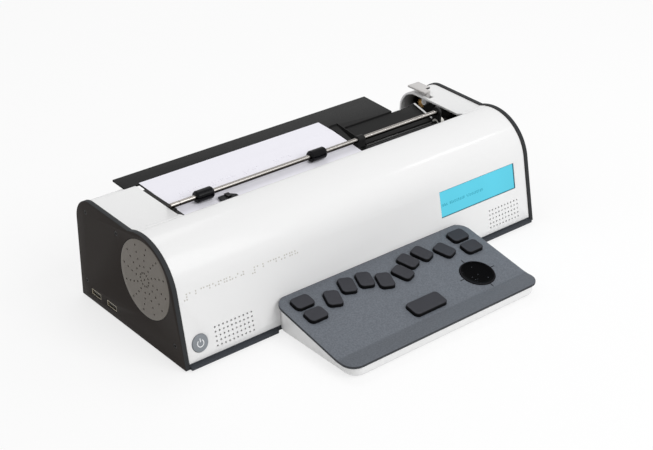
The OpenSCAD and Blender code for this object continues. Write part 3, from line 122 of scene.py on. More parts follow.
# Outline of a roller's end from the bore to the tread: place along it, radius
ROLLER_END = ((0, 2.52), (0, 4.6), (0.3, 5.0), (1.2, 5.35), (1.6, 5.75))
# Places on the front slope: along the machine, up the slope, out of the cover
BUTTON = (-200.7, 19.75, 1.0)
LCD = (147.25, 54.5)
LABEL = (-208.5, 67.6)
# The disc's place on the panel and its outline: height over the panel, radius
NAV = (75.6, -60.8)
NAV_OUTLINE = (
    (-3.5, 0), (-3.5, 3.0), (-2.0, 3.0), (-2.0, 17.1), (-1.8, 17.3), (0.7, 17.3), (1.05, 17.1),
    (1.2, 16.6), (1.1, 15.9), (0.75, 14.9), (0.6, 13.0), (0.5, 6.0), (0.5, 0))
TICK_REACH, TICK_W, TICK_H = 20.3, 0.9, 0.16
# Keys: distance from the middle and down the panel, then width and length
DOT_KEYS = ((11.2, 24.8), (27.3, 14.4), (47.2, 12.4), (70.3, 19.8))
DOT_KEY, DOT_KEY_TURN = (15.4, 20.6), 20
FUNCTION_KEYS = ((98.1, 9.5), (98.1, 29.1))
FUNCTION_KEY = (20.6, 15.6)
SPACE_KEY_DOWN = 70.2
SPACE_KEY = (39.4, 18.0)
KEY_LIFT, KEY_SKIRT = 3.4, 2.2
KEY_CORNER = 4.4
# Where the open right end of the covers starts, and the length over which painted shade darkens it
HOLLOW = (190, 120, 50)
HOLLOW_FADE = 12
# Raised dots of the braille signs for a number and the ten digits
SIGNS = {
    "#": (3, 4, 5, 6), "1": (1,), "2": (1, 2), "3": (1, 4), "4": (1, 4, 5), "5": (1, 5),
    "6": (1, 2, 4), "7": (1, 2, 4, 5), "8": (1, 2, 5), "9": (2, 4), "0": (2, 4, 5), " ": (),
}
LABEL_SIGNS = "#1234567890 #12345678"
SHEET_SIGNS = " #1234 #5678 #901  #234"
SHEET_LINE, SHEET_MARGIN = 115.3, 12.0
# Angle past which an edge counts as sharp, and the turn that stands a turned piece upright
SHARP = math.radians(40)
UPRIGHT = Matrix.Rotation(math.radians(-90), 4, "Y")
# The photograph's viewpoint, in metres and degrees
CAMERA_PLACE = (-0.7799, -0.8809, 0.6966)
CAMERA_TURN, CAMERA_TILT, CAMERA_ROLL = -40.295, 61.42, 0.615
CAMERA_SENSOR, CAMERA_LENS = 36.0, 77.53
# Studio lamps: name of the lamp and of its power, place, size and what it looks at, in metres
LAMPS = (
    ("front_box", "key", (0.4, -1.6, 1.7), (1.6, 1.6), (0.0, 0.0, 0.0)),
    ("top_box", "top", (0.3, 0.9, 1.8), (1.2, 0.8), (0.0, 0.0, 0.0)),
    ("strip_box", "strip", (1.1, -0.435, 1.155), (0.26, 0.1), (1.1, -0.435, 0.0)),
)
# Share of the floor's white that is its own light
FLOOR_GLOW = 0.72


class WriterSizes(PropertyGroup):
    """Sizes of the fittings that this script adds."""

    edge: FloatProperty(
        name="Edge", description="Rounding of the housing's edges", default=0.5 * MM, unit="LENGTH")
    sheet_edge: FloatProperty(
        name="Sheet edge", description="Rounding of bent metal edges", default=0.25 * MM, unit="LENGTH")
    base_edge: FloatProperty(
        name="Base edge", description="Rounding under the keyboard base", default=2.6 * MM, unit="LENGTH")
    button_edge: FloatProperty(
        name="Button edge", description="Rounding of the power button", default=0.7 * MM, unit="LENGTH")
    lever_edge: FloatProperty(
        name="Lever edge", description="Rounding of the release lever", default=0.4 * MM, unit="LENGTH")
    port_edge: FloatProperty(
        name="Port edge", description="Rounding of the ports' shells", default=0.15 * MM, unit="LENGTH")
    crease: FloatProperty(
        name="Crease", description="Half width of the bend in the panel", default=2.5 * MM, unit="LENGTH")
    key_round: FloatProperty(
        name="Key rounding", description="Rounding of a key's top edge", default=0.9 * MM, unit="LENGTH")
    key_dish: FloatProperty(
        name="Key dish", description="Hollow of a key's top", default=0.2 * MM, unit="LENGTH")
    dot_r: FloatProperty(
        name="Dot radius", description="Radius of a braille dot", default=0.8 * MM, unit="LENGTH")
    dot_h: FloatProperty(
        name="Dot height", description="Height of a braille dot", default=0.48 * MM, unit="LENGTH")
    dot_pitch: FloatProperty(
        name="Dot spacing", description="Spacing of the dots in a cell", default=2.5 * MM, unit="LENGTH")
    cell_pitch: FloatProperty(
        name="Cell spacing", description="Spacing of the braille cells", default=6.1 * MM, unit="LENGTH")
    symbol_r: FloatProperty(
        name="Symbol radius", description="Radius of the power symbol", default=3.3 * MM, unit="LENGTH")
    symbol_w: FloatProperty(
        name="Symbol line", description="Line width of the power symbol", default=0.8 * MM, unit="LENGTH")
    tick_l: FloatProperty(
        name="Tick length", description="Length of the marks round the disc", default=4.4 * MM, unit="LENGTH")


class WriterColours(PropertyGroup):
    """Colours of the finishes."""

    shell: FloatVectorProperty(
        name="Shell", description="White covers", subtype="COLOR",
        default=(0.79, 0.79, 0.79), min=0, max=1)
    plate: FloatVectorProperty(
        name="Plates", description="Side plates", subtype="COLOR",
        default=(0.026, 0.0215, 0.019), min=0, max=1)
    # Painted sheen on the plates' rims
    plate_rim_sheen: FloatVectorProperty(
        name="Plate rim", description="Edge of the side plates", subtype="COLOR",
        default=(0.036, 0.038, 0.040), min=0, max=1)
    disc: FloatVectorProperty(
        name="Disc", description="Round speaker disc", subtype="COLOR",
        default=(0.162, 0.146, 0.127), min=0, max=1)
    panel: FloatVectorProperty(
        name="Panel", description="Keyboard panel", subtype="COLOR",
        default=(0.118, 0.131, 0.152), min=0, max=1)
    key: FloatVectorProperty(
        name="Keys", description="Key caps", subtype="COLOR",
        default=(0.036, 0.037, 0.044), min=0, max=1)
    display: FloatVectorProperty(
        name="Display", description="Lit display", subtype="COLOR",
        default=(0.122, 0.645, 0.823), min=0, max=1)
    paper: FloatVectorProperty(
        name="Paper", description="Sheet of paper", subtype="COLOR",
        default=(0.83, 0.82, 0.88), min=0, max=1)
    button: FloatVectorProperty(
        name="Button", description="Power button", subtype="COLOR",
        default=(0.23, 0.25, 0.27), min=0, max=1)


class WriterLight(PropertyGroup):
    """Studio light."""

    sky: FloatProperty(name="Sky", description="Level of the soft light from all round", default=0.58, min=0)
    key: FloatProperty(name="Key", description="Power of the large front light", default=26.0, min=0)
    top: FloatProperty(name="Top", description="Power of the light above the deck", default=6.5, min=0)
    strip: FloatProperty(
        name="Strip", description="Power of the narrow light that the hump mirrors", default=0.87, min=0)


def sizes():
    return bpy.context.scene.writer_sizes


def colours():
    return bpy.context.scene.writer_colours


class Wire:
    """A shader socket that takes part in Python expressions."""

    def __init__(self, finish, socket):
        self.finish = finish
        self.socket = socket

    def maths(self, operation, first, second=0.0):
        return self.finish.add("ShaderNodeMath", {"operation": operation}, {0: first, 1: second})["Value"]

    def __add__(self, other):
        return self.maths("ADD", self, other)

    def __radd__(self, other):
        return self.maths("ADD", other, self)

    def __sub__(self, other):
        return self.maths("SUBTRACT", self, other)

    def __rsub__(self, other):
        return self.maths("SUBTRACT", other, self)

    def __mul__(self, other):
        return self.maths("MULTIPLY", self, other)

    def __rmul__(self, other):
        return self.maths("MULTIPLY", other, self)

    def __gt__(self, other):
        return self.maths("GREATER_THAN", self, other)

    def __lt__(self, other):
        return self.maths("LESS_THAN", self, other)

    def __abs__(self):
        return self.maths("ABSOLUTE", self)

    def floor(self):
        return self.maths("FLOOR", self)

    def part(self):
        return self.maths("FRACT", self)

    def root(self):
        return self.maths("SQRT", self)


class Outputs:
    """The outputs of a node, by name or number."""

    def __init__(self, finish, node):
        self.finish = finish
        self.node = node

    def __getitem__(self, key):
        return Wire(self.finish, self.node.outputs[key])


class Nodes:
    """A node tree and the ways to add to it."""

    def __init__(self, tree):
        self.tree = tree

    def add(self, kind, settings=None, sockets=None):
        """Adds a node of that type, with its settings set first and its sockets given values or links."""
        node = self.tree.nodes.new(kind)
        for key, value in (settings or {}).items():
            setattr(node, key, value)
        for key, value in (sockets or {}).items():
            self.feed(node.inputs[key], value)
        return Outputs(self, node)

    def feed(self, socket, value):
        if isinstance(value, Wire):
            self.tree.links.new(value.socket, socket)
        else:
            socket.default_value = value

    def place(self):
        return self.add("ShaderNodeTexCoord")["Object"]

    def normal(self):
        return self.add("ShaderNodeTexCoord")["Normal"]

    def parts(self, wire):
        return self.add("ShaderNodeSeparateXYZ", None, {"Vector": wire})

    def at(self, axis):
        return self.parts(self.place())[axis]

    def facing(self, axis):
        return self.parts(self.normal())[axis]

    def turned(self, matrix):
        """Object coordinates in the frame of a matrix."""
        back = matrix.inverted()
        return self.add("ShaderNodeMapping", None, {
            "Vector": self.place(), "Location": back.to_translation(), "Rotation": back.to_euler()})["Vector"]

    def stretched(self, along):
        """Object coordinates drawn out, for brushed grain."""
        return self.add("ShaderNodeMapping", None, {"Vector": self.place(), "Scale": along})["Vector"]

    def noise(self, scale, detail=2.0, place=None):
        return self.add("ShaderNodeTexNoise", None, {
            "Vector": place or self.place(), "Scale": scale, "Detail": detail, "Roughness": 0.6})["Fac"]

    def range(self, wire, low, high, to_low, to_high):
        return self.add("ShaderNodeMapRange", None, {
            "Value": wire, "From Min": low, "From Max": high, "To Min": to_low, "To Max": to_high})["Result"]

    def mask(self, wire, low, high):
        """0 where a value is at low, 1 where it is at high, and even between them."""
        return self.range(wire, low, high, 0.0, 1.0)

    def blend(self, factor, first, second):
        """A mix of two colours, each a wire or a plain colour."""
        solid = [c if isinstance(c, Wire) else (*c, 1.0) for c in (first, second)]
        return self.add("ShaderNodeMix", {"data_type": "RGBA"}, {0: factor, 6: solid[0], 7: solid[1]})[2]

    def bump(self, height, strength, distance):
        return self.add("ShaderNodeBump", None, {
            "Height": height, "Strength": strength, "Distance": distance})["Normal"]


class Finish(Nodes):
    """A procedural material: a Principled shader and the nodes that feed it."""

    def __init__(self, name):
        self.material = bpy.data.materials.new(name)
        self.material.use_nodes = True
        super().__init__(self.material.node_tree)
        self.shader = self.tree.nodes["Principled BSDF"]

    def set(self, **sockets):
        """Sets or links sockets of the shader; an underscore in a name stands for a space."""
        for key, value in sockets.items():
            self.feed(self.shader.inputs[key.replace("_", " ")], value)
        return self


def shade(colour, share):
    """A colour made darker or lighter."""
    return tuple(min(1.0, c * share) for c in colour)


def moulded(name, colour, rough, grain=900.0, depth=0.05, swing=0.08, gloss=0.25):
    """Moulded plastic: cloudy colour, uneven gloss and a fine grain."""
    finish = Finish(name)
    cloud = finish.noise(28.0, 3.0)
    grains = finish.noise(grain, 2.0)
    tone = cloud * 0.6 + grains * 0.4
    return finish.set(
        Base_Color=finish.blend(tone, shade(colour, 1 - swing), shade(colour, 1 + swing)),
        Roughness=finish.range(cloud + grains, 0.6, 1.4, rough * 0.85, rough * 1.15),
        Specular_IOR_Level=gloss,
        Normal=finish.bump(grains, depth, 0.2 * MM))


def metal(name, colour, rough):
    """Worked metal: fine tool marks over a cloudy tone."""
    finish = Finish(name)
    marks = finish.noise(1200.0, 3.0)
    cloud = finish.noise(35.0, 2.0)
    return finish.set(
        Base_Color=finish.blend(marks * 0.7 + cloud * 0.3, shade(colour, 0.9), shade(colour, 1.1)),
        Metallic=1.0,
        Roughness=finish.range(marks, 0.3, 0.7, rough * 0.75, rough * 1.3),
        Normal=finish.bump(marks, 0.06, 0.1 * MM))


def coated(name, colour, rim, gloss):
    """Powder coat on sheet metal: fine speckle, and a lighter line of painted sheen on the rims."""
    finish = Finish(name)
    speckle = finish.noise(1500.0, 2.0)
    cloud = finish.noise(18.0, 2.0)
    # Painted sheen: faces that do not look sideways, the rims, take the lighter rim colour
    edge = finish.mask(abs(finish.facing("X")), 0.97, 0.6)
    face = finish.blend(speckle * 0.65 + cloud * 0.35, shade(colour, 0.8), shade(colour, 1.25))
    return finish.set(
        Base_Color=finish.blend(edge, face, rim),
        Roughness=finish.range(speckle, 0.3, 0.7, 0.425, 0.6),
        Specular_IOR_Level=gloss,
        Normal=finish.bump(speckle, 0.12, 0.2 * MM))


def shell_white():
    """Lacquered white covers, with painted shade inside the deep right end."""
    finish = Finish("shell_white")
    colour = colours().shell
    cloud = finish.noise(9.0, 2.0)
    peel = finish.noise(700.0, 1.0)
    start = spot(*HOLLOW)
    # Painted shade: faces that look down or forward inside the open right end are painted near black
    under = finish.mask(finish.facing("Z"), -0.1, -0.4) * (finish.at("Z") > start.z)
    behind = finish.mask(finish.facing("Y"), -0.1, -0.4) * (finish.at("Y") > start.y)
    deep = finish.mask(finish.at("X"), start.x, start.x + HOLLOW_FADE * MM)
    hollow_shade = finish.mask(under + behind, 0.0, 1.0) * deep
    white = finish.blend(cloud, shade(colour, 0.985), shade(colour, 1.015))
    return finish.set(
        Base_Color=finish.blend(hollow_shade, white, (0.012, 0.011, 0.010)),
        Roughness=finish.range(cloud + peel, 0.6, 1.4, 0.5, 0.6),
        Coat_Weight=finish.range(peel, 0.3, 0.7, 0.32, 0.42), Coat_Roughness=0.12,
        Normal=finish.bump(peel, 0.02, 0.2 * MM))


def panel_film():
    """Textured film on the keyboard panel, with painted shade on the level lip, and dark on its cut edge."""
    finish = Finish("panel_film")
    colour = colours().panel
    weave = finish.add("ShaderNodeTexVoronoi", None, {"Vector": finish.place(), "Scale": 1100.0})["Distance"]
    fleck = finish.noise(650.0, 2.0)
    cloud = finish.noise(14.0, 2.0)
    edge = finish.mask(finish.facing("Z"), 0.55, 0.25)
    specks = finish.mask(fleck, 0.36, 0.64)
    face = finish.blend(specks * 0.6 + weave * 0.25 + cloud * 0.15, shade(colour, 0.72), shade(colour, 1.3))
    crease = spot(0, PANEL_CREASE, 0).y
    # Painted shade: the level lip in front of the crease is painted a little darker
    lip_shade = finish.range(finish.at("Y"), crease + 1 * MM, crease - 1 * MM, 0.0, 0.22)
    film = finish.blend(lip_shade, face, (0.0, 0.0, 0.0))
    return finish.set(
        Base_Color=finish.blend(edge, film, shade(colour, 0.25)),
        Roughness=finish.range(fleck, 0.3, 0.7, 0.5, 0.68),
        Specular_IOR_Level=0.3,
        Normal=finish.bump(fleck + weave, 0.25, 0.3 * MM))


def key_black():
    """Soft-touch keys: painted shade makes the walls near black, and the tops keep the key colour."""
    finish = Finish("key_black")
    colour = colours().key
    fleck = finish.noise(900.0, 2.0)
    cloud = finish.noise(60.0, 2.0)
    top = finish.mask(finish.facing("Z"), 0.62, 0.97)
    # Painted shade: the walls under the tops are painted near black
    body = finish.blend(fleck, shade(colour, 0.03), shade(colour, 0.1))
    top_tone = finish.blend(cloud * 0.5 + fleck * 0.5, shade(colour, 0.8), shade(colour, 1.2))
    return finish.set(
        Base_Color=finish.blend(top, body, top_tone),
        Roughness=finish.range(fleck, 0.3, 0.7, 0.4, 0.55),
        Specular_IOR_Level=0.12,
        Normal=finish.bump(fleck, 0.08, 0.2 * MM))


def nav_black():
    """Black disc with a few painted glints in its face and a painted sheen on its rim."""
    finish = Finish("nav_black")
    pebble = finish.add("ShaderNodeTexVoronoi", None, {"Vector": finish.place(), "Scale": 900.0})
    lot = finish.parts(pebble["Color"])["X"]
    # Painted glints: rare light grey specks in the face stand for glints
    glint = (lot > 0.982) * (pebble["Distance"] < 0.35)
    parts = finish.parts(finish.turned(on_panel(*NAV)))
    reach = (parts["X"] * parts["X"] + parts["Y"] * parts["Y"]).root()
    # Painted sheen: the rim is painted a little lighter than the face, as a reflection
    rim = finish.mask(reach, 15.8 * MM, 16.9 * MM)
    face = finish.blend(glint, (0.0008, 0.0009, 0.0012), (0.13, 0.14, 0.16))
    return finish.set(
        Base_Color=finish.blend(rim, face, (0.016, 0.016, 0.018)),
        Roughness=finish.range(pebble["Distance"], 0.0, 0.8, 0.15, 0.3), Specular_IOR_Level=0.015,
        Normal=finish.bump(pebble["Distance"], 0.1, 0.2 * MM))


def display_cyan():
    """Backlit display: an even glow with one row of small dotted cells, and painted shade of the recess along
    its right and its foot.
    """
    dots_per_metre = 1700.0
    left, right, low, high = -50.5 * MM, 6.5 * MM, -2.2 * MM, 0.6 * MM
    blank_places = -41.2 * MM, -18.0 * MM
    # Where the painted shade of the recess walls starts, at the right and at the foot
    shade_right_edge, shade_low_edge = 50.7 * MM, -12.5 * MM
    finish = Finish("display_cyan")
    colour = colours().display
    parts = finish.parts(finish.turned(slope(*LCD)))
    across, up = parts["X"], parts["Y"]
    column, row = across * dots_per_metre, up * dots_per_metre
    grid = finish.add("ShaderNodeCombineXYZ", None, {"X": column.floor(), "Y": row.floor()})["Vector"]
    lot = finish.add("ShaderNodeTexWhiteNoise", {"noise_dimensions": "2D"}, {"Vector": grid})["Value"]
    dx, dy = column.part() - 0.5, row.part() - 0.5
    dot = (dx * dx + dy * dy).root() < 0.42
    cell = (column * 0.25).part() < 0.75
    inside = (across > left) * (across < right) * (up > low) * (up < high)
    first, second = (abs(across - place) < 1 * MM for place in blank_places)
    ink = dot * cell * inside * (lot > 0.25) * (1.0 - (first + second))
    rim = finish.range(abs(up), 10.5 * MM, 13.2 * MM, 0.0, 0.25)
    cloud = finish.noise(16.0, 1.0)
    glow = finish.blend(cloud * 0.4 + rim, shade(colour, 1.03), shade(colour, 0.9))
    front = finish.mask(finish.facing("Y"), -0.3, -0.6)
    # Painted shade: the recess walls at the right and along the foot are painted dark
    recess_shade = finish.range((across > shade_right_edge) + (up < shade_low_edge), 0.0, 1.0, 0.0, 0.85)
    shown = finish.blend(recess_shade, finish.blend(ink, glow, (0.01, 0.27, 0.38)), (0.004, 0.05, 0.075))
    lit = finish.blend(front, (0.004, 0.004, 0.004), shown)
    return finish.set(
        Base_Color=finish.blend(cloud * 0.2 + 0.65, lit, (0.0, 0.0, 0.0)),
        Roughness=finish.range(cloud, 0.3, 0.7, 0.28, 0.34), Specular_IOR_Level=0.1,
        Emission_Color=lit, Emission_Strength=0.72)


def frame_grey():
    """Bent sheet: painted shade makes its faces dark, and painted light makes the cut edge that faces up
    behind the shaft bright.
    """
    finish = Finish("frame_grey")
    marks = finish.noise(1100.0, 3.0, finish.stretched((1.0, 0.1, 1.0)))
    axis = spot(*FEED_AXIS).y
    rear = finish.mask(finish.at("Y"), axis + 5 * MM, axis + 9 * MM)
    # Painted light on the faces that look up behind the shaft; painted shade on all other faces
    cut = finish.mask(finish.facing("Z"), 0.6, 0.9) * rear
    shaded_faces = finish.blend(marks, (0.012, 0.012, 0.012), (0.022, 0.022, 0.022))
    bright = finish.blend(marks, (0.52, 0.52, 0.52), (0.66, 0.66, 0.66))
    return finish.set(
        Base_Color=finish.blend(cut, shaded_faces, bright), Roughness=finish.range(marks, 0.3, 0.7, 0.4, 0.55),
        Specular_IOR_Level=0.2, Normal=finish.bump(marks, 0.05, 0.1 * MM))


def ground_steel():
    """Ground shafts: grain along them, a painted highlight line towards the front, painted shade on their
    undersides, and painted shade on those that run low.
    """
    finish = Finish("bright_steel")
    marks = finish.noise(900.0, 2.0, finish.stretched((0.02, 1.0, 1.0)))
    facing = finish.parts(finish.normal())
    # Painted highlight: a bright line where the shaft faces forward and up
    line = finish.mask(facing["Z"] * 0.66 - facing["Y"] * 0.75, 0.95, 0.995)
    # Painted shade on the shafts' undersides
    low = finish.mask(facing["Z"], 0.5, 0.0)
    # Painted shade: shafts that run low inside the machine are painted near black
    shaded_below = finish.at("Z") < spot(*FEED_AXIS).z - 6 * MM
    body = finish.blend(marks, (0.22, 0.205, 0.19), (0.32, 0.30, 0.28))
    lit = finish.blend(line, body, (0.43, 0.41, 0.39))
    under = finish.blend(low, lit, (0.025, 0.02, 0.016))
    return finish.set(
        Base_Color=finish.blend(shaded_below, under, (0.03, 0.03, 0.03)), Metallic=1.0,
        Roughness=finish.range(marks, 0.3, 0.7, 0.2, 0.32), Normal=finish.bump(marks, 0.04, 0.1 * MM))


def lever_grey():
    """Warm grey lever; painted shade darkens the stepped face beside its finger."""
    step_x = 190.4
    finish = Finish("lever_grey")
    grains = finish.noise(1100.0, 2.0)
    # Painted shade on the stepped face beside the finger
    step = finish.mask(finish.facing("Y"), -0.5, -0.8) * (finish.at("X") > step_x * MM)
    body = finish.blend(grains, (0.50, 0.485, 0.475), (0.60, 0.585, 0.575))
    return finish.set(
        Base_Color=finish.blend(step, body, (0.02, 0.02, 0.022)),
        Roughness=finish.range(grains, 0.3, 0.7, 0.3, 0.42),
        Specular_IOR_Level=0.35, Normal=finish.bump(grains, 0.03, 0.2 * MM))


def paper_white():
    """Paper with its fibres along the feed and a faint cloud."""
    finish = Finish("paper_white")
    colour = colours().paper
    fibre = finish.noise(420.0, 4.0, finish.stretched((1.0, 0.35, 1.0)))
    cloud = finish.noise(40.0, 2.0)
    return finish.set(
        Base_Color=finish.blend(fibre * 0.6 + cloud * 0.4, shade(colour, 0.965), shade(colour, 1.02)),
        Roughness=finish.range(fibre, 0.3, 0.7, 0.75, 0.9),
        Normal=finish.bump(fibre, 0.06, 0.2 * MM))


FINISHES = {
    "shell_white": shell_white,
    "plate_charcoal": lambda: coated("plate_charcoal", colours().plate, colours().plate_rim_sheen, gloss=0.05),
    "base_charcoal": lambda: moulded("base_charcoal", (0.044, 0.049, 0.057), 0.55, gloss=0.1),
    "disc_grey": lambda: moulded("disc_grey", colours().disc, 0.5, 1400.0, 0.08),
    "display_cyan": display_cyan,
    "button_grey": lambda: moulded("button_grey", colours().button, 0.35, 1200.0, 0.03),
    "symbol_white": lambda: moulded("symbol_white", (0.85, 0.86, 0.87), 0.5, 1200.0, 0.02, 0.03),
    "screw_steel": lambda: metal("screw_steel", (0.035, 0.033, 0.032), 0.4),
    "bright_steel": ground_steel,
    "foot_rubber": lambda: moulded("foot_rubber", (0.014, 0.014, 0.014), 0.75),
    "roller_rubber": lambda: moulded("roller_rubber", (0.002, 0.002, 0.003), 0.14, 700.0, 0.02, 0.2, 0.12),
    "belt_rubber": lambda: moulded("belt_rubber", (0.012, 0.012, 0.013), 0.6),
    "port_metal": lambda: metal("port_metal", (0.45, 0.41, 0.33), 0.3),
    "port_black": lambda: moulded("port_black", (0.01, 0.01, 0.01), 0.4),
    "board_green": lambda: moulded("board_green", (0.02, 0.13, 0.045), 0.4),
    "battery_blue": lambda: moulded("battery_blue", (0.034, 0.08, 0.147), 0.35),
    "deck_metal": lambda: coated("deck_metal", (0.014, 0.014, 0.014), (0.018, 0.018, 0.018), gloss=0.07),
    "black_plastic": lambda: moulded("black_plastic", (0.02, 0.02, 0.019), 0.5, gloss=0.1),
    "speaker_black": lambda: moulded("speaker_black", (0.004, 0.004, 0.004), 0.7, gloss=0.05),
    "pin_steel": lambda: metal("pin_steel", (0.03, 0.03, 0.031), 0.4),
    "paper_white": paper_white,
    "gear_nylon": lambda: moulded("gear_nylon", (0.74, 0.73, 0.69), 0.45),
    "brass": lambda: metal("brass", (0.45, 0.26, 0.09), 0.3),
    "motor_grey": lambda: metal("motor_grey", (0.24, 0.25, 0.26), 0.4),
    "frame_grey": frame_grey,
    "carriage_grey": lambda: moulded("carriage_grey", (0.020, 0.021, 0.022), 0.45, swing=0.3, gloss=0.12),
    "pulley_alloy": lambda: metal("pulley_alloy", (0.5, 0.5, 0.52), 0.32),
    "lever_grey": lever_grey,
    "panel_grey": panel_film,
    "key_black": key_black,
    "nav_black": nav_black,
    "tick_black": lambda: moulded("tick_black", (0.004, 0.004, 0.005), 0.5, gloss=0.1),
    # Grey, darker than the covers: painted shade that makes the label dots show
    "dot_white": lambda: moulded("dot_white", (0.58, 0.57, 0.53), 0.4, 900.0, 0.03, 0.05),
}
made_finishes = {}


def finish_of(name):
    if name not in made_finishes:
        made_finishes[name] = FINISHES[name]().material
    return made_finishes[name]


def spot(x, y, z):
    """A point of the machine's frame, given in millimetres."""
    return FOOT + Vector((x, y, z)) * MM


def slope(x, up, out=0.0):
    """A frame on the front slope: x along the machine, y up the slope, z out of the cover."""
    return (Matrix.Translation(FOOT) @ Matrix.Rotation(math.radians(90) - LEAN, 4, "X")
            @ Matrix.Translation(Vector((x, up, out - COVER_STEP)) * MM))


def on_panel(x, v, n=0.0, turn=0.0):
    """A frame on the keyboard panel: y up the panel, z out of it."""
    return (Matrix.Translation(spot(0, 0, PANEL_REAR)) @ Matrix.Rotation(PANEL_TILT, 4, "X")
            @ Matrix.Translation(Vector((x, v, n)) * MM) @ Matrix.Rotation(math.radians(turn), 4, "Z"))


def on_sheet(x, y):
    """A frame on the sheet in front of the tray: x across it, y towards the rear, z out of it."""
    z = SHEET_DIP[1] + (y - SHEET_DIP[0]) * math.tan(SHEET_TILT)
    return Matrix.Translation(spot(x, y, z)) @ Matrix.Rotation(SHEET_TILT, 4, "X")


def body_of(node):
    return frame["nodes"][node]["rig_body"]


def piece(bm, name, body, finish, stands_for=(), sharp=32.0):
    """Makes a bmesh a finished piece that rides on a CAD body."""
    for face in bm.faces:
        face.smooth = True
    for edge in bm.edges:
        edge.smooth = len(edge.link_faces) == 2 and edge.calc_face_angle(0.0) < math.radians(sharp)
    mesh = bpy.data.meshes.new(name)
    bm.to_mesh(mesh)
    bm.free()
    made = bpy.data.objects.new(name, mesh)
    bpy.context.scene.collection.objects.link(made)
    mesh.materials.append(finish_of(finish))
    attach(made, body)
    if stands_for:
        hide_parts(*stands_for)
    return made


def copy_of(node):
    """A CAD node's mesh, merged, with its flat faces joined."""
    bm = bmesh.new()
    bm.from_mesh(frame["nodes"][node].data)
    bmesh.ops.remove_doubles(bm, verts=bm.verts, dist=2e-6)
    bmesh.ops.dissolve_limit(bm, angle_limit=math.radians(0.3), verts=bm.verts, edges=bm.edges)
    return bm


def bevel(bm, edges, radius, segments):
    bmesh.ops.bevel(
        bm, geom=edges, offset=radius, offset_type="OFFSET", segments=segments, profile=0.5,
        affect="EDGES", clamp_overlap=False, material=-1)


def soften(bm, radius, wanted, segments=2):
    """Bevels the edges that wanted() picks."""
    bevel(bm, [e for e in bm.edges if len(e.link_faces) == 2 and wanted(e)], radius, segments)
    return bm


def middle(edge):
    """The middle of an edge in the machine's frame, in millimetres."""
    return ((edge.verts[0].co + edge.verts[1].co) / 2 - FOOT) / MM


def crisp(edge):
    return edge.calc_length() > 1 * MM and edge.calc_face_angle(0.0) > SHARP


def dress(node, finish, radius, wanted=crisp, segments=2):
    """A softened copy of a CAD node in its place."""
    bm = soften(copy_of(node), radius, wanted, segments)
    return piece(bm, node + "_skin", body_of(node), finish, stands_for=(node,))


def paint(finish, *nodes):
    """Gives CAD nodes that stay in view their finish."""
    for node in nodes:
        mesh = frame["nodes"][node].data
        mesh.materials.clear()
        mesh.materials.append(finish_of(finish))


def turned_bar(bm, profile, place, steps=40):
    """Turns a profile of (along, radius) pairs round the local X axis and puts it in place."""
    before = set(bm.verts)
    verts = [bm.verts.new((along * MM, 0, radius * MM)) for along, radius in profile]
    edges = [bm.edges.new(pair) for pair in zip(verts, verts[1:])]
    bmesh.ops.spin(
        bm, geom=verts + edges, cent=(0, 0, 0), axis=(1, 0, 0), angle=math.tau, steps=steps, use_merge=True)
    made = [v for v in bm.verts if v not in before]
    bmesh.ops.remove_doubles(bm, verts=made, dist=1e-6)
    made = [v for v in bm.verts if v not in before]
    faces = list({f for v in made for f in v.link_faces})
    bmesh.ops.recalc_face_normals(bm, faces=faces)
    bmesh.ops.transform(bm, matrix=place, verts=made)


def block(bm, place, size, radius, segments=1):
    """Adds a block with bevelled edges; its size and the bevel are in millimetres."""
    made = bmesh.ops.create_cube(bm, size=1.0, matrix=place @ Matrix.Diagonal((*(c * MM for c in size), 1)))
    bevel(bm, list({e for v in made["verts"] for e in v.link_edges}), radius * MM, segments)


def dots(bm, cells, place):
    """Adds low domes for a line of braille signs; place(x, y) gives the frame of a dot."""
    pitch, step = sizes().dot_pitch, sizes().cell_pitch
    dome = Matrix.Diagonal((sizes().dot_r, sizes().dot_r, sizes().dot_h, 1.0))
    for index, sign in enumerate(cells):
        for dot in SIGNS[sign]:
            column, row = divmod(dot - 1, 3)
            seat = place(index * step + column * pitch, -row * pitch)
            bmesh.ops.create_uvsphere(bm, u_segments=8, v_segments=6, radius=1.0, matrix=seat @ dome)


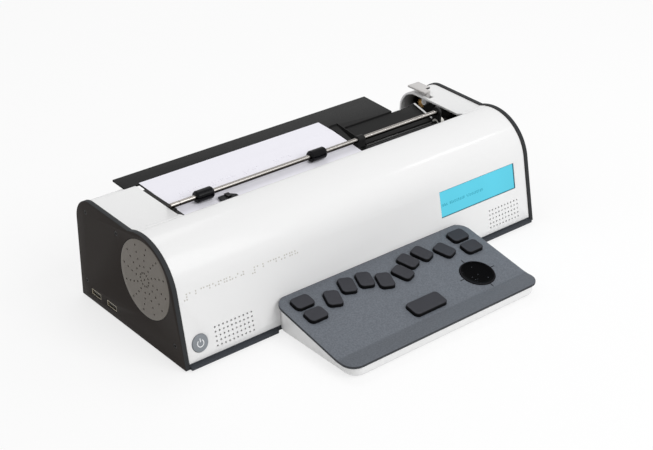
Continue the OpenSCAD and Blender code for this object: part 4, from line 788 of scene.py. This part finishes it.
class WRITER_OT_housing(Operator):
    """Softens the covers and the side plates, and turns the feet and the plate screws"""

    bl_idname = "writer.housing"
    bl_label = "Housing"

    def execute(self, context):
        edge = sizes().edge

        def inside(e):
            return crisp(e) and abs(middle(e).x) < INNER_X - 0.1
        dress("front_cover", "shell_white", edge, inside)
        dress("rear_cover", "shell_white", edge, inside)
        dress("left_side_plate", "plate_charcoal", edge)
        dress("right_side_plate", "plate_charcoal", edge)
        paint("base_charcoal", "base_tray")
        pads, heads = bmesh.new(), bmesh.new()
        for side in (-1, 1):
            for x, y, r in FEET:
                outline = (0, 0), (0, r - FOOT_CHAMFER), (FOOT_CHAMFER, r), (FOOT_H, r), (FOOT_H, 0)
                turned_bar(pads, outline, Matrix.Translation(spot(side * x, y, -FOOT_H)) @ UPRIGHT, 32)
            for y, z in SCREWS:
                outward = Matrix.Rotation(math.radians(90 * side), 4, "Y")
                self.screw(heads, Matrix.Translation(spot(side * OUTER_X, y, z)) @ outward)
        piece(pads, "foot_pads", "housing", "foot_rubber", stands_for=("rubber_feet",))
        piece(heads, "plate_screw_heads", "housing", "screw_steel", stands_for=("plate_screws",))
        return {"FINISHED"}

    def screw(self, bm, place):
        """A flat screw head with a hexagon socket, its face just under the local origin."""
        depth = SCREW_SINK + SCREW_CHAMFER + SCREW_SIDE
        made = bmesh.ops.create_circle(bm, segments=24, radius=SCREW_R * MM, cap_ends=True)["verts"]
        bmesh.ops.translate(bm, vec=(0, 0, -depth * MM), verts=made)
        loop = list({e for v in made for e in v.link_edges})
        for rise, size in ((SCREW_SIDE, 1.0), (SCREW_CHAMFER, 0.9)):
            ring, loop = self.grown(bm, loop, rise)
            bmesh.ops.scale(bm, vec=(size, size, 1), verts=ring)
            made = made + ring
        hexagon = bmesh.ops.create_circle(bm, segments=6, radius=SOCKET_R * MM, cap_ends=False)["verts"]
        bmesh.ops.translate(bm, vec=(0, 0, -SCREW_SINK * MM), verts=hexagon)
        socket = list({e for v in hexagon for e in v.link_edges})
        bmesh.ops.bridge_loops(bm, edges=loop + socket)
        deep, bottom = self.grown(bm, socket, -SOCKET_DEEP)
        bmesh.ops.contextual_create(bm, geom=bottom)
        made = made + hexagon + deep
        bmesh.ops.recalc_face_normals(bm, faces=list({f for v in made for f in v.link_faces}))
        bmesh.ops.transform(bm, matrix=place, verts=made)

    def grown(self, bm, loop, rise):
        """Extrudes a ring of edges along z and gives the new ring's vertices and edges."""
        geom = bmesh.ops.extrude_edge_only(bm, edges=loop)["geom"]
        ring = [g for g in geom if isinstance(g, bmesh.types.BMVert)]
        rim = [g for g in geom if isinstance(g, bmesh.types.BMEdge) and all(v in ring for v in g.verts)]
        bmesh.ops.translate(bm, vec=(0, 0, rise * MM), verts=ring)
        return ring, rim


class WRITER_OT_sound(Operator):
    """Finishes the round disc and the speakers behind the grilles"""

    bl_idname = "writer.sound"
    bl_label = "Speakers"

    def execute(self, context):
        def rim(e):
            place = middle(e) - DISC_CENTRE
            return math.hypot(place.y, place.z) > DISC_RIM and crisp(e)
        dress("speaker_disc", "disc_grey", sizes().edge, rim)
        paint("speaker_black", "side_speaker", "front_speakers")
        return {"FINISHED"}


class WRITER_OT_front_controls(Operator):
    """Finishes the display and the power button, and adds the braille label"""

    bl_idname = "writer.front_controls"
    bl_label = "Front controls"

    def execute(self, context):
        paint("display_cyan", "lcd_module")
        seat = slope(*BUTTON)
        back = seat.inverted()

        def rim(e):
            place = back @ ((e.verts[0].co + e.verts[1].co) / 2)
            return place.z > -0.1 * MM and e.calc_face_angle(0.0) > SHARP
        dress("power_button", "button_grey", sizes().button_edge, rim, 3)
        self.symbol(seat)
        bm = bmesh.new()
        start = slope(*LABEL)
        dots(bm, LABEL_SIGNS, lambda x, y: start @ Matrix.Translation((x, y, 0)))
        piece(bm, "label_dots", "housing", "dot_white")
        return {"FINISHED"}

    def symbol(self, seat):
        """An open ring and a bar, raised a little on the button."""
        radius, line = sizes().symbol_r, sizes().symbol_w
        gap, thickness, lift = 38, 0.12 * MM, 0.01 * MM
        bm = bmesh.new()
        ends = [bm.verts.new((0, radius + side * line / 2, 0)) for side in (-1, 1)]
        bm.edges.new(ends)
        bmesh.ops.rotate(
            bm, cent=(0, 0, 0), matrix=Matrix.Rotation(math.radians(gap), 3, "Z"), verts=ends)
        bmesh.ops.spin(
            bm, geom=bm.verts[:] + bm.edges[:], cent=(0, 0, 0), axis=(0, 0, 1),
            angle=math.radians(360 - 2 * gap), steps=28)
        bmesh.ops.create_grid(
            bm, x_segments=1, y_segments=1, size=0.5,
            matrix=Matrix.Translation((0, radius * 0.86, 0)) @ Matrix.Diagonal((line, radius * 1.05, 1, 1)))
        bmesh.ops.recalc_face_normals(bm, faces=bm.faces)
        for face in bm.faces:
            if face.normal.z < 0:
                face.normal_flip()
        bmesh.ops.solidify(bm, geom=bm.faces[:], thickness=thickness)
        low = min(v.co.z for v in bm.verts)
        bmesh.ops.translate(bm, vec=(0, 0, lift - low), verts=bm.verts)
        bmesh.ops.transform(bm, matrix=seat, verts=bm.verts)
        bmesh.ops.recalc_face_normals(bm, faces=bm.faces)
        piece(bm, "power_symbol", "power", "symbol_white")


class WRITER_OT_ports(Operator):
    """Finishes the two ports and puts dark tongues with contacts in them"""

    bl_idname = "writer.ports"
    bl_label = "Ports"

    def execute(self, context):
        dress("side_ports", "port_metal", sizes().port_edge)
        low, high = corners("side_ports")
        z = centre("side_ports").z
        bm, contacts = bmesh.new(), bmesh.new()
        for y in (high.y - PORT_W / 2, low.y + PORT_W / 2):
            block(bm, Matrix.Translation(spot(low.x + TONGUE_IN, y, z)), TONGUE, 0.2, 2)
            for k in range(CONTACTS):
                beside = y + (k - (CONTACTS - 1) / 2) * CONTACT_PITCH
                place = spot(low.x + CONTACT_IN, beside, z + TONGUE[2] / 2)
                block(contacts, Matrix.Translation(place), CONTACT, 0.08)
        piece(bm, "port_tongues", "housing", "port_black")
        piece(contacts, "port_contacts", "housing", "brass")
        return {"FINISHED"}


class WRITER_OT_deck(Operator):
    """Softens the metalwork of the paper deck and gives it its finish"""

    bl_idname = "writer.deck"
    bl_label = "Paper deck"

    def execute(self, context):
        edge = sizes().sheet_edge
        for node in ("paper_tray", "platen"):
            dress(node, "deck_metal", edge)
        dress("left_paper_rail", "black_plastic", edge)
        dress("right_paper_guide", "deck_metal", edge * 0.8)
        dress("right_frame", "frame_grey", edge)
        paint("black_plastic", "anvil_bar")
        paint("frame_grey", "left_frame")
        paint("deck_metal", "gear_plate")
        paint("gear_nylon", "shaft_bushes")
        return {"FINISHED"}


class WRITER_OT_sheet(Operator):
    """Finishes the sheet of paper and raises the embossed line on it"""

    bl_idname = "writer.sheet"
    bl_label = "Sheet"

    def execute(self, context):
        piece(copy_of("paper_sheet"), "paper_leaf", "housing", "paper_white", stands_for=("paper_sheet",))
        bm = bmesh.new()
        start = SHEET_LEFT + SHEET_MARGIN
        dots(bm, SHEET_SIGNS, lambda x, y: on_sheet(start + x / MM, SHEET_LINE + y / MM))
        piece(bm, "paper_dots", "housing", "paper_white")
        return {"FINISHED"}


class WRITER_OT_feed(Operator):
    """Turns the pinch shaft and its rollers, and finishes the gear train"""

    bl_idname = "writer.feed"
    bl_label = "Paper feed"

    def execute(self, context):
        low, high = corners("pinch_shaft")
        length, neck = high.x - low.x, SHAFT_R - SHAFT_STEP
        bm = bmesh.new()
        turned_bar(bm, ((0, 0), (0, neck), (SHAFT_STEP, SHAFT_R),
                        *zip(GROOVE, (SHAFT_R, neck, neck, SHAFT_R)),
                        (length - SHAFT_STEP, SHAFT_R), (length, neck), (length, 0)),
                   Matrix.Translation(spot(low.x, FEED_AXIS.y, FEED_AXIS.z)))
        piece(bm, "pinch_bar", "pinch", "bright_steel", stands_for=("pinch_shaft",))
        low, high = corners("pinch_rollers")
        far_end = tuple((ROLLER_L - along, radius) for along, radius in reversed(ROLLER_END))
        ring = ROLLER_END + far_end + ROLLER_END[:1]
        bm = bmesh.new()
        for x in (low.x, high.x - ROLLER_L):
            turned_bar(bm, ring, Matrix.Translation(spot(x, FEED_AXIS.y, FEED_AXIS.z)), 48)
        piece(bm, "pinch_tyres", "pinch", "roller_rubber", stands_for=("pinch_rollers",))
        paint("bright_steel", "drive_shaft")
        paint("roller_rubber", "drive_rollers")
        paint("black_plastic", "drive_gear", "idler_gear")
        paint("brass", "motor_pinion")
        paint("motor_grey", "feed_motor")
        return {"FINISHED"}


class WRITER_OT_head(Operator):
    """Finishes the embossing head, its rods and its belt drive"""

    bl_idname = "writer.head"
    bl_label = "Embossing head"

    def execute(self, context):
        dress("emboss_nose", "carriage_grey", sizes().sheet_edge)
        dress("head_carriage", "carriage_grey", sizes().edge)
        paint("pin_steel", "emboss_pins", "carriage_rods")
        paint("belt_rubber", "carriage_belt")
        paint("motor_grey", "belt_motor")
        paint("pulley_alloy", "drive_pulley", "idler_pulley")
        return {"FINISHED"}


class WRITER_OT_lever(Operator):
    """Softens the release lever"""

    bl_idname = "writer.lever"
    bl_label = "Release lever"

    def execute(self, context):
        dress("release_lever", "lever_grey", sizes().lever_edge)
        return {"FINISHED"}


class WRITER_OT_keyboard(Operator):
    """Softens the keyboard's base and panel and marks the panel round the disc"""

    bl_idname = "writer.keyboard"
    bl_label = "Keyboard"

    def execute(self, context):
        self.base()
        self.panel()
        self.marks()
        paint("board_green", "keyboard_board", "main_board")
        paint("battery_blue", "battery")
        return {"FINISHED"}

    def base(self):
        low, high = corners("keyboard_base")
        margin = 13

        def under(e):
            place = middle(e)
            outer = abs(place.x) > high.x - margin or place.y < low.y + margin
            below = place.z < 0.05 and any(f.normal.z < -0.8 for f in e.link_faces)
            return below and outer and e.calc_face_angle(0.0) > SHARP
        dress("keyboard_base", "shell_white", sizes().base_edge, under, 4)

    def panel(self):
        low, high = corners("keyboard_panel")
        margin = 4.2
        level = PANEL_REAR + PANEL_CREASE * math.tan(PANEL_TILT)

        def crease(e):
            place = middle(e)
            return (abs(place.y - PANEL_CREASE) < 0.2 and abs(place.z - level) < 0.2
                    and 4 < math.degrees(e.calc_face_angle(0.0)) < 20)

        def rim(e):
            place = middle(e)
            within = abs(place.x) < high.x - margin and low.y + margin < place.y < high.y - margin
            upper = any(f.normal.z > 0.8 for f in e.link_faces)
            return not within and upper and e.calc_face_angle(0.0) > SHARP and e.calc_length() > 0.2 * MM
        bm = copy_of("keyboard_panel")
        soften(bm, sizes().crease, crease, 6)
        soften(bm, sizes().edge, rim)
        piece(bm, "keyboard_panel_skin", "housing", "panel_grey", stands_for=("keyboard_panel",))

    def marks(self):
        """Four short lines round the disc, printed proud of the panel."""
        bm = bmesh.new()
        for k in range(4):
            place = on_panel(*NAV, 0.03, 90 * k) @ Matrix.Translation((TICK_REACH * MM, 0, 0))
            block(bm, place, (sizes().tick_l / MM, TICK_W, TICK_H), 0.05)
        piece(bm, "disc_marks", "housing", "tick_black")


class WRITER_OT_keys(Operator):
    """Builds the thirteen keys with rounded corners and slightly dished tops"""

    bl_idname = "writer.keys"
    bl_label = "Keys"

    def execute(self, context):
        for side, hand in ((-1, "left"), (1, "right")):
            for k, (x, down) in enumerate(DOT_KEYS, 1):
                self.cap(f"{hand}_dot_key_{k}", on_panel(side * x, -down, 0, side * DOT_KEY_TURN), *DOT_KEY)
            for k, (x, down) in enumerate(FUNCTION_KEYS, 1):
                self.cap(f"{hand}_function_key_{k}", on_panel(side * x, -down), *FUNCTION_KEY)
        self.cap("space_key", on_panel(0, -SPACE_KEY_DOWN), *SPACE_KEY)
        return {"FINISHED"}

    def cap(self, node, place, width, length):
        """A key from its skirt in the panel to its slightly dished top."""
        bm = bmesh.new()
        bmesh.ops.create_cube(
            bm, size=1.0, matrix=Matrix.Translation((0, 0, (KEY_LIFT - KEY_SKIRT) / 2 * MM))
            @ Matrix.Diagonal((width * MM, length * MM, (KEY_LIFT + KEY_SKIRT) * MM, 1)))
        upright = [e for e in bm.edges if abs(e.verts[0].co.z - e.verts[1].co.z) > MM]
        bevel(bm, upright, KEY_CORNER * MM, 10)
        bevel(bm, [e for f in bm.faces if f.normal.z > 0.9 for e in f.edges], sizes().key_round, 4)
        for inset, fall in ((0.8, 0.2), (1.0, 0.5), (1.0, 0.3)):
            top = [max(bm.faces, key=lambda f: f.normal.z * f.calc_area())]
            bmesh.ops.inset_region(
                bm, faces=top, thickness=inset * MM, depth=-sizes().key_dish * fall, use_even_offset=True)
        bmesh.ops.recalc_face_normals(bm, faces=bm.faces)
        bmesh.ops.transform(bm, matrix=place, verts=bm.verts)
        piece(bm, node + "_cap", body_of(node), "key_black", stands_for=(node,), sharp=60.0)


class WRITER_OT_nav(Operator):
    """Turns the navigation disc with its raised rim"""

    bl_idname = "writer.nav"
    bl_label = "Navigation disc"

    def execute(self, context):
        bm = bmesh.new()
        turned_bar(bm, NAV_OUTLINE, on_panel(*NAV) @ UPRIGHT, 72)
        piece(bm, "nav_face", "nav", "nav_black", stands_for=("nav_disc",))
        paint("bright_steel", "nav_gimbal")
        return {"FINISHED"}


class WRITER_OT_stage(Operator):
    """Lays the floor and sets the camera, the sky and the lamps"""

    bl_idname = "writer.stage"
    bl_label = "Stage"

    def execute(self, context):
        scene = bpy.context.scene
        scene.view_settings.view_transform = "Standard"
        self.floor()
        self.sky()
        for name, power, place, size, target in LAMPS:
            self.lamp(name, getattr(scene.writer_light, power), Vector(place), size, Vector(target))
        self.camera()
        return {"FINISHED"}

    def camera(self):
        scene = bpy.context.scene
        data = bpy.data.cameras.new("camera")
        data.sensor_width, data.lens = CAMERA_SENSOR, CAMERA_LENS
        data.clip_start, data.clip_end = 0.01, 50.0
        view = bpy.data.objects.new("camera", data)
        scene.collection.objects.link(view)
        view.matrix_world = (
            Matrix.Translation(CAMERA_PLACE) @ Matrix.Rotation(math.radians(CAMERA_TURN), 4, "Z")
            @ Matrix.Rotation(math.radians(CAMERA_TILT), 4, "X")
            @ Matrix.Rotation(math.radians(CAMERA_ROLL), 4, "Z"))
        scene.camera = view

    def lamp(self, name, power, place, size, target):
        data = bpy.data.lights.new(name, "AREA")
        data.shape, data.size, data.size_y, data.energy = "RECTANGLE", *size, power
        lamp = bpy.data.objects.new(name, data)
        bpy.context.scene.collection.objects.link(lamp)
        aim = (target - place).to_track_quat("-Z", "Y").to_matrix().to_4x4()
        lamp.matrix_world = Matrix.Translation(place) @ aim

    def floor(self):
        bm = bmesh.new()
        bmesh.ops.create_grid(bm, x_segments=4, y_segments=4, size=6.0)
        mesh = bpy.data.meshes.new("floor")
        bm.to_mesh(mesh)
        bm.free()
        floor = bpy.data.objects.new("floor", mesh)
        bpy.context.scene.collection.objects.link(floor)
        finish = Finish("floor_white")
        finish.set(Base_Color=(0.92, 0.92, 0.92, 1), Roughness=0.9, Specular_IOR_Level=0.0)
        glow = finish.add("ShaderNodeEmission", None, {"Color": (1, 1, 1, 1), "Strength": 1.0})["Emission"]
        mixed = finish.add("ShaderNodeMixShader", None, {
            0: self.seen(finish) * FLOOR_GLOW, 1: Wire(finish, finish.shader.outputs["BSDF"]), 2: glow})
        finish.feed(finish.tree.nodes["Material Output"].inputs["Surface"], mixed["Shader"])
        mesh.materials.append(finish.material)

    def seen(self, nodes):
        """1 for what the camera, mirrors and glass see, and 0 for soft light."""
        path = nodes.add("ShaderNodeLightPath")
        rays = path["Is Camera Ray"] + path["Is Glossy Ray"] + path["Is Transmission Ray"]
        return rays > 0.5

    def sky(self):
        scene = bpy.context.scene
        scene.world = bpy.data.worlds.new("sky")
        scene.world.use_nodes = True
        nodes = Nodes(scene.world.node_tree)
        ground = nodes.tree.nodes["Background"]
        ground.inputs["Color"].default_value = (1, 1, 1, 1)
        level = nodes.range(self.seen(nodes), 0.0, 1.0, scene.writer_light.sky, 1.0)
        nodes.feed(ground.inputs["Strength"], level)


OPERATORS = (
    WRITER_OT_housing, WRITER_OT_sound, WRITER_OT_front_controls, WRITER_OT_ports, WRITER_OT_deck,
    WRITER_OT_sheet, WRITER_OT_feed, WRITER_OT_head, WRITER_OT_lever, WRITER_OT_keyboard, WRITER_OT_keys,
    WRITER_OT_nav, WRITER_OT_stage,
)


class WRITER_PT_dressing(Panel):
    """Lists the steps that dress the frame"""

    bl_idname = "WRITER_PT_dressing"
    bl_label = "Braille writer"
    bl_space_type = "VIEW_3D"
    bl_region_type = "UI"
    bl_category = "Braille writer"

    def draw(self, context):
        for operator in OPERATORS:
            self.layout.operator(operator.bl_idname)
        for group in (context.scene.writer_sizes, context.scene.writer_colours, context.scene.writer_light):
            for key in group.__annotations__:
                self.layout.prop(group, key)


GROUPS = {"writer_sizes": WriterSizes, "writer_colours": WriterColours, "writer_light": WriterLight}


def register():
    for group in GROUPS.values():
        bpy.utils.register_class(group)
    for name, group in GROUPS.items():
        setattr(bpy.types.Scene, name, PointerProperty(type=group))
    for operator in (*OPERATORS, WRITER_PT_dressing):
        bpy.utils.register_class(operator)


def unregister():
    for operator in reversed((*OPERATORS, WRITER_PT_dressing)):
        bpy.utils.unregister_class(operator)
    for name, group in GROUPS.items():
        delattr(bpy.types.Scene, name)
        bpy.utils.unregister_class(group)


def main():
    register()
    for operator in OPERATORS:
        group, name = operator.bl_idname.split(".")
        getattr(getattr(bpy.ops, group), name)()


if __name__ == "__main__":
    main()
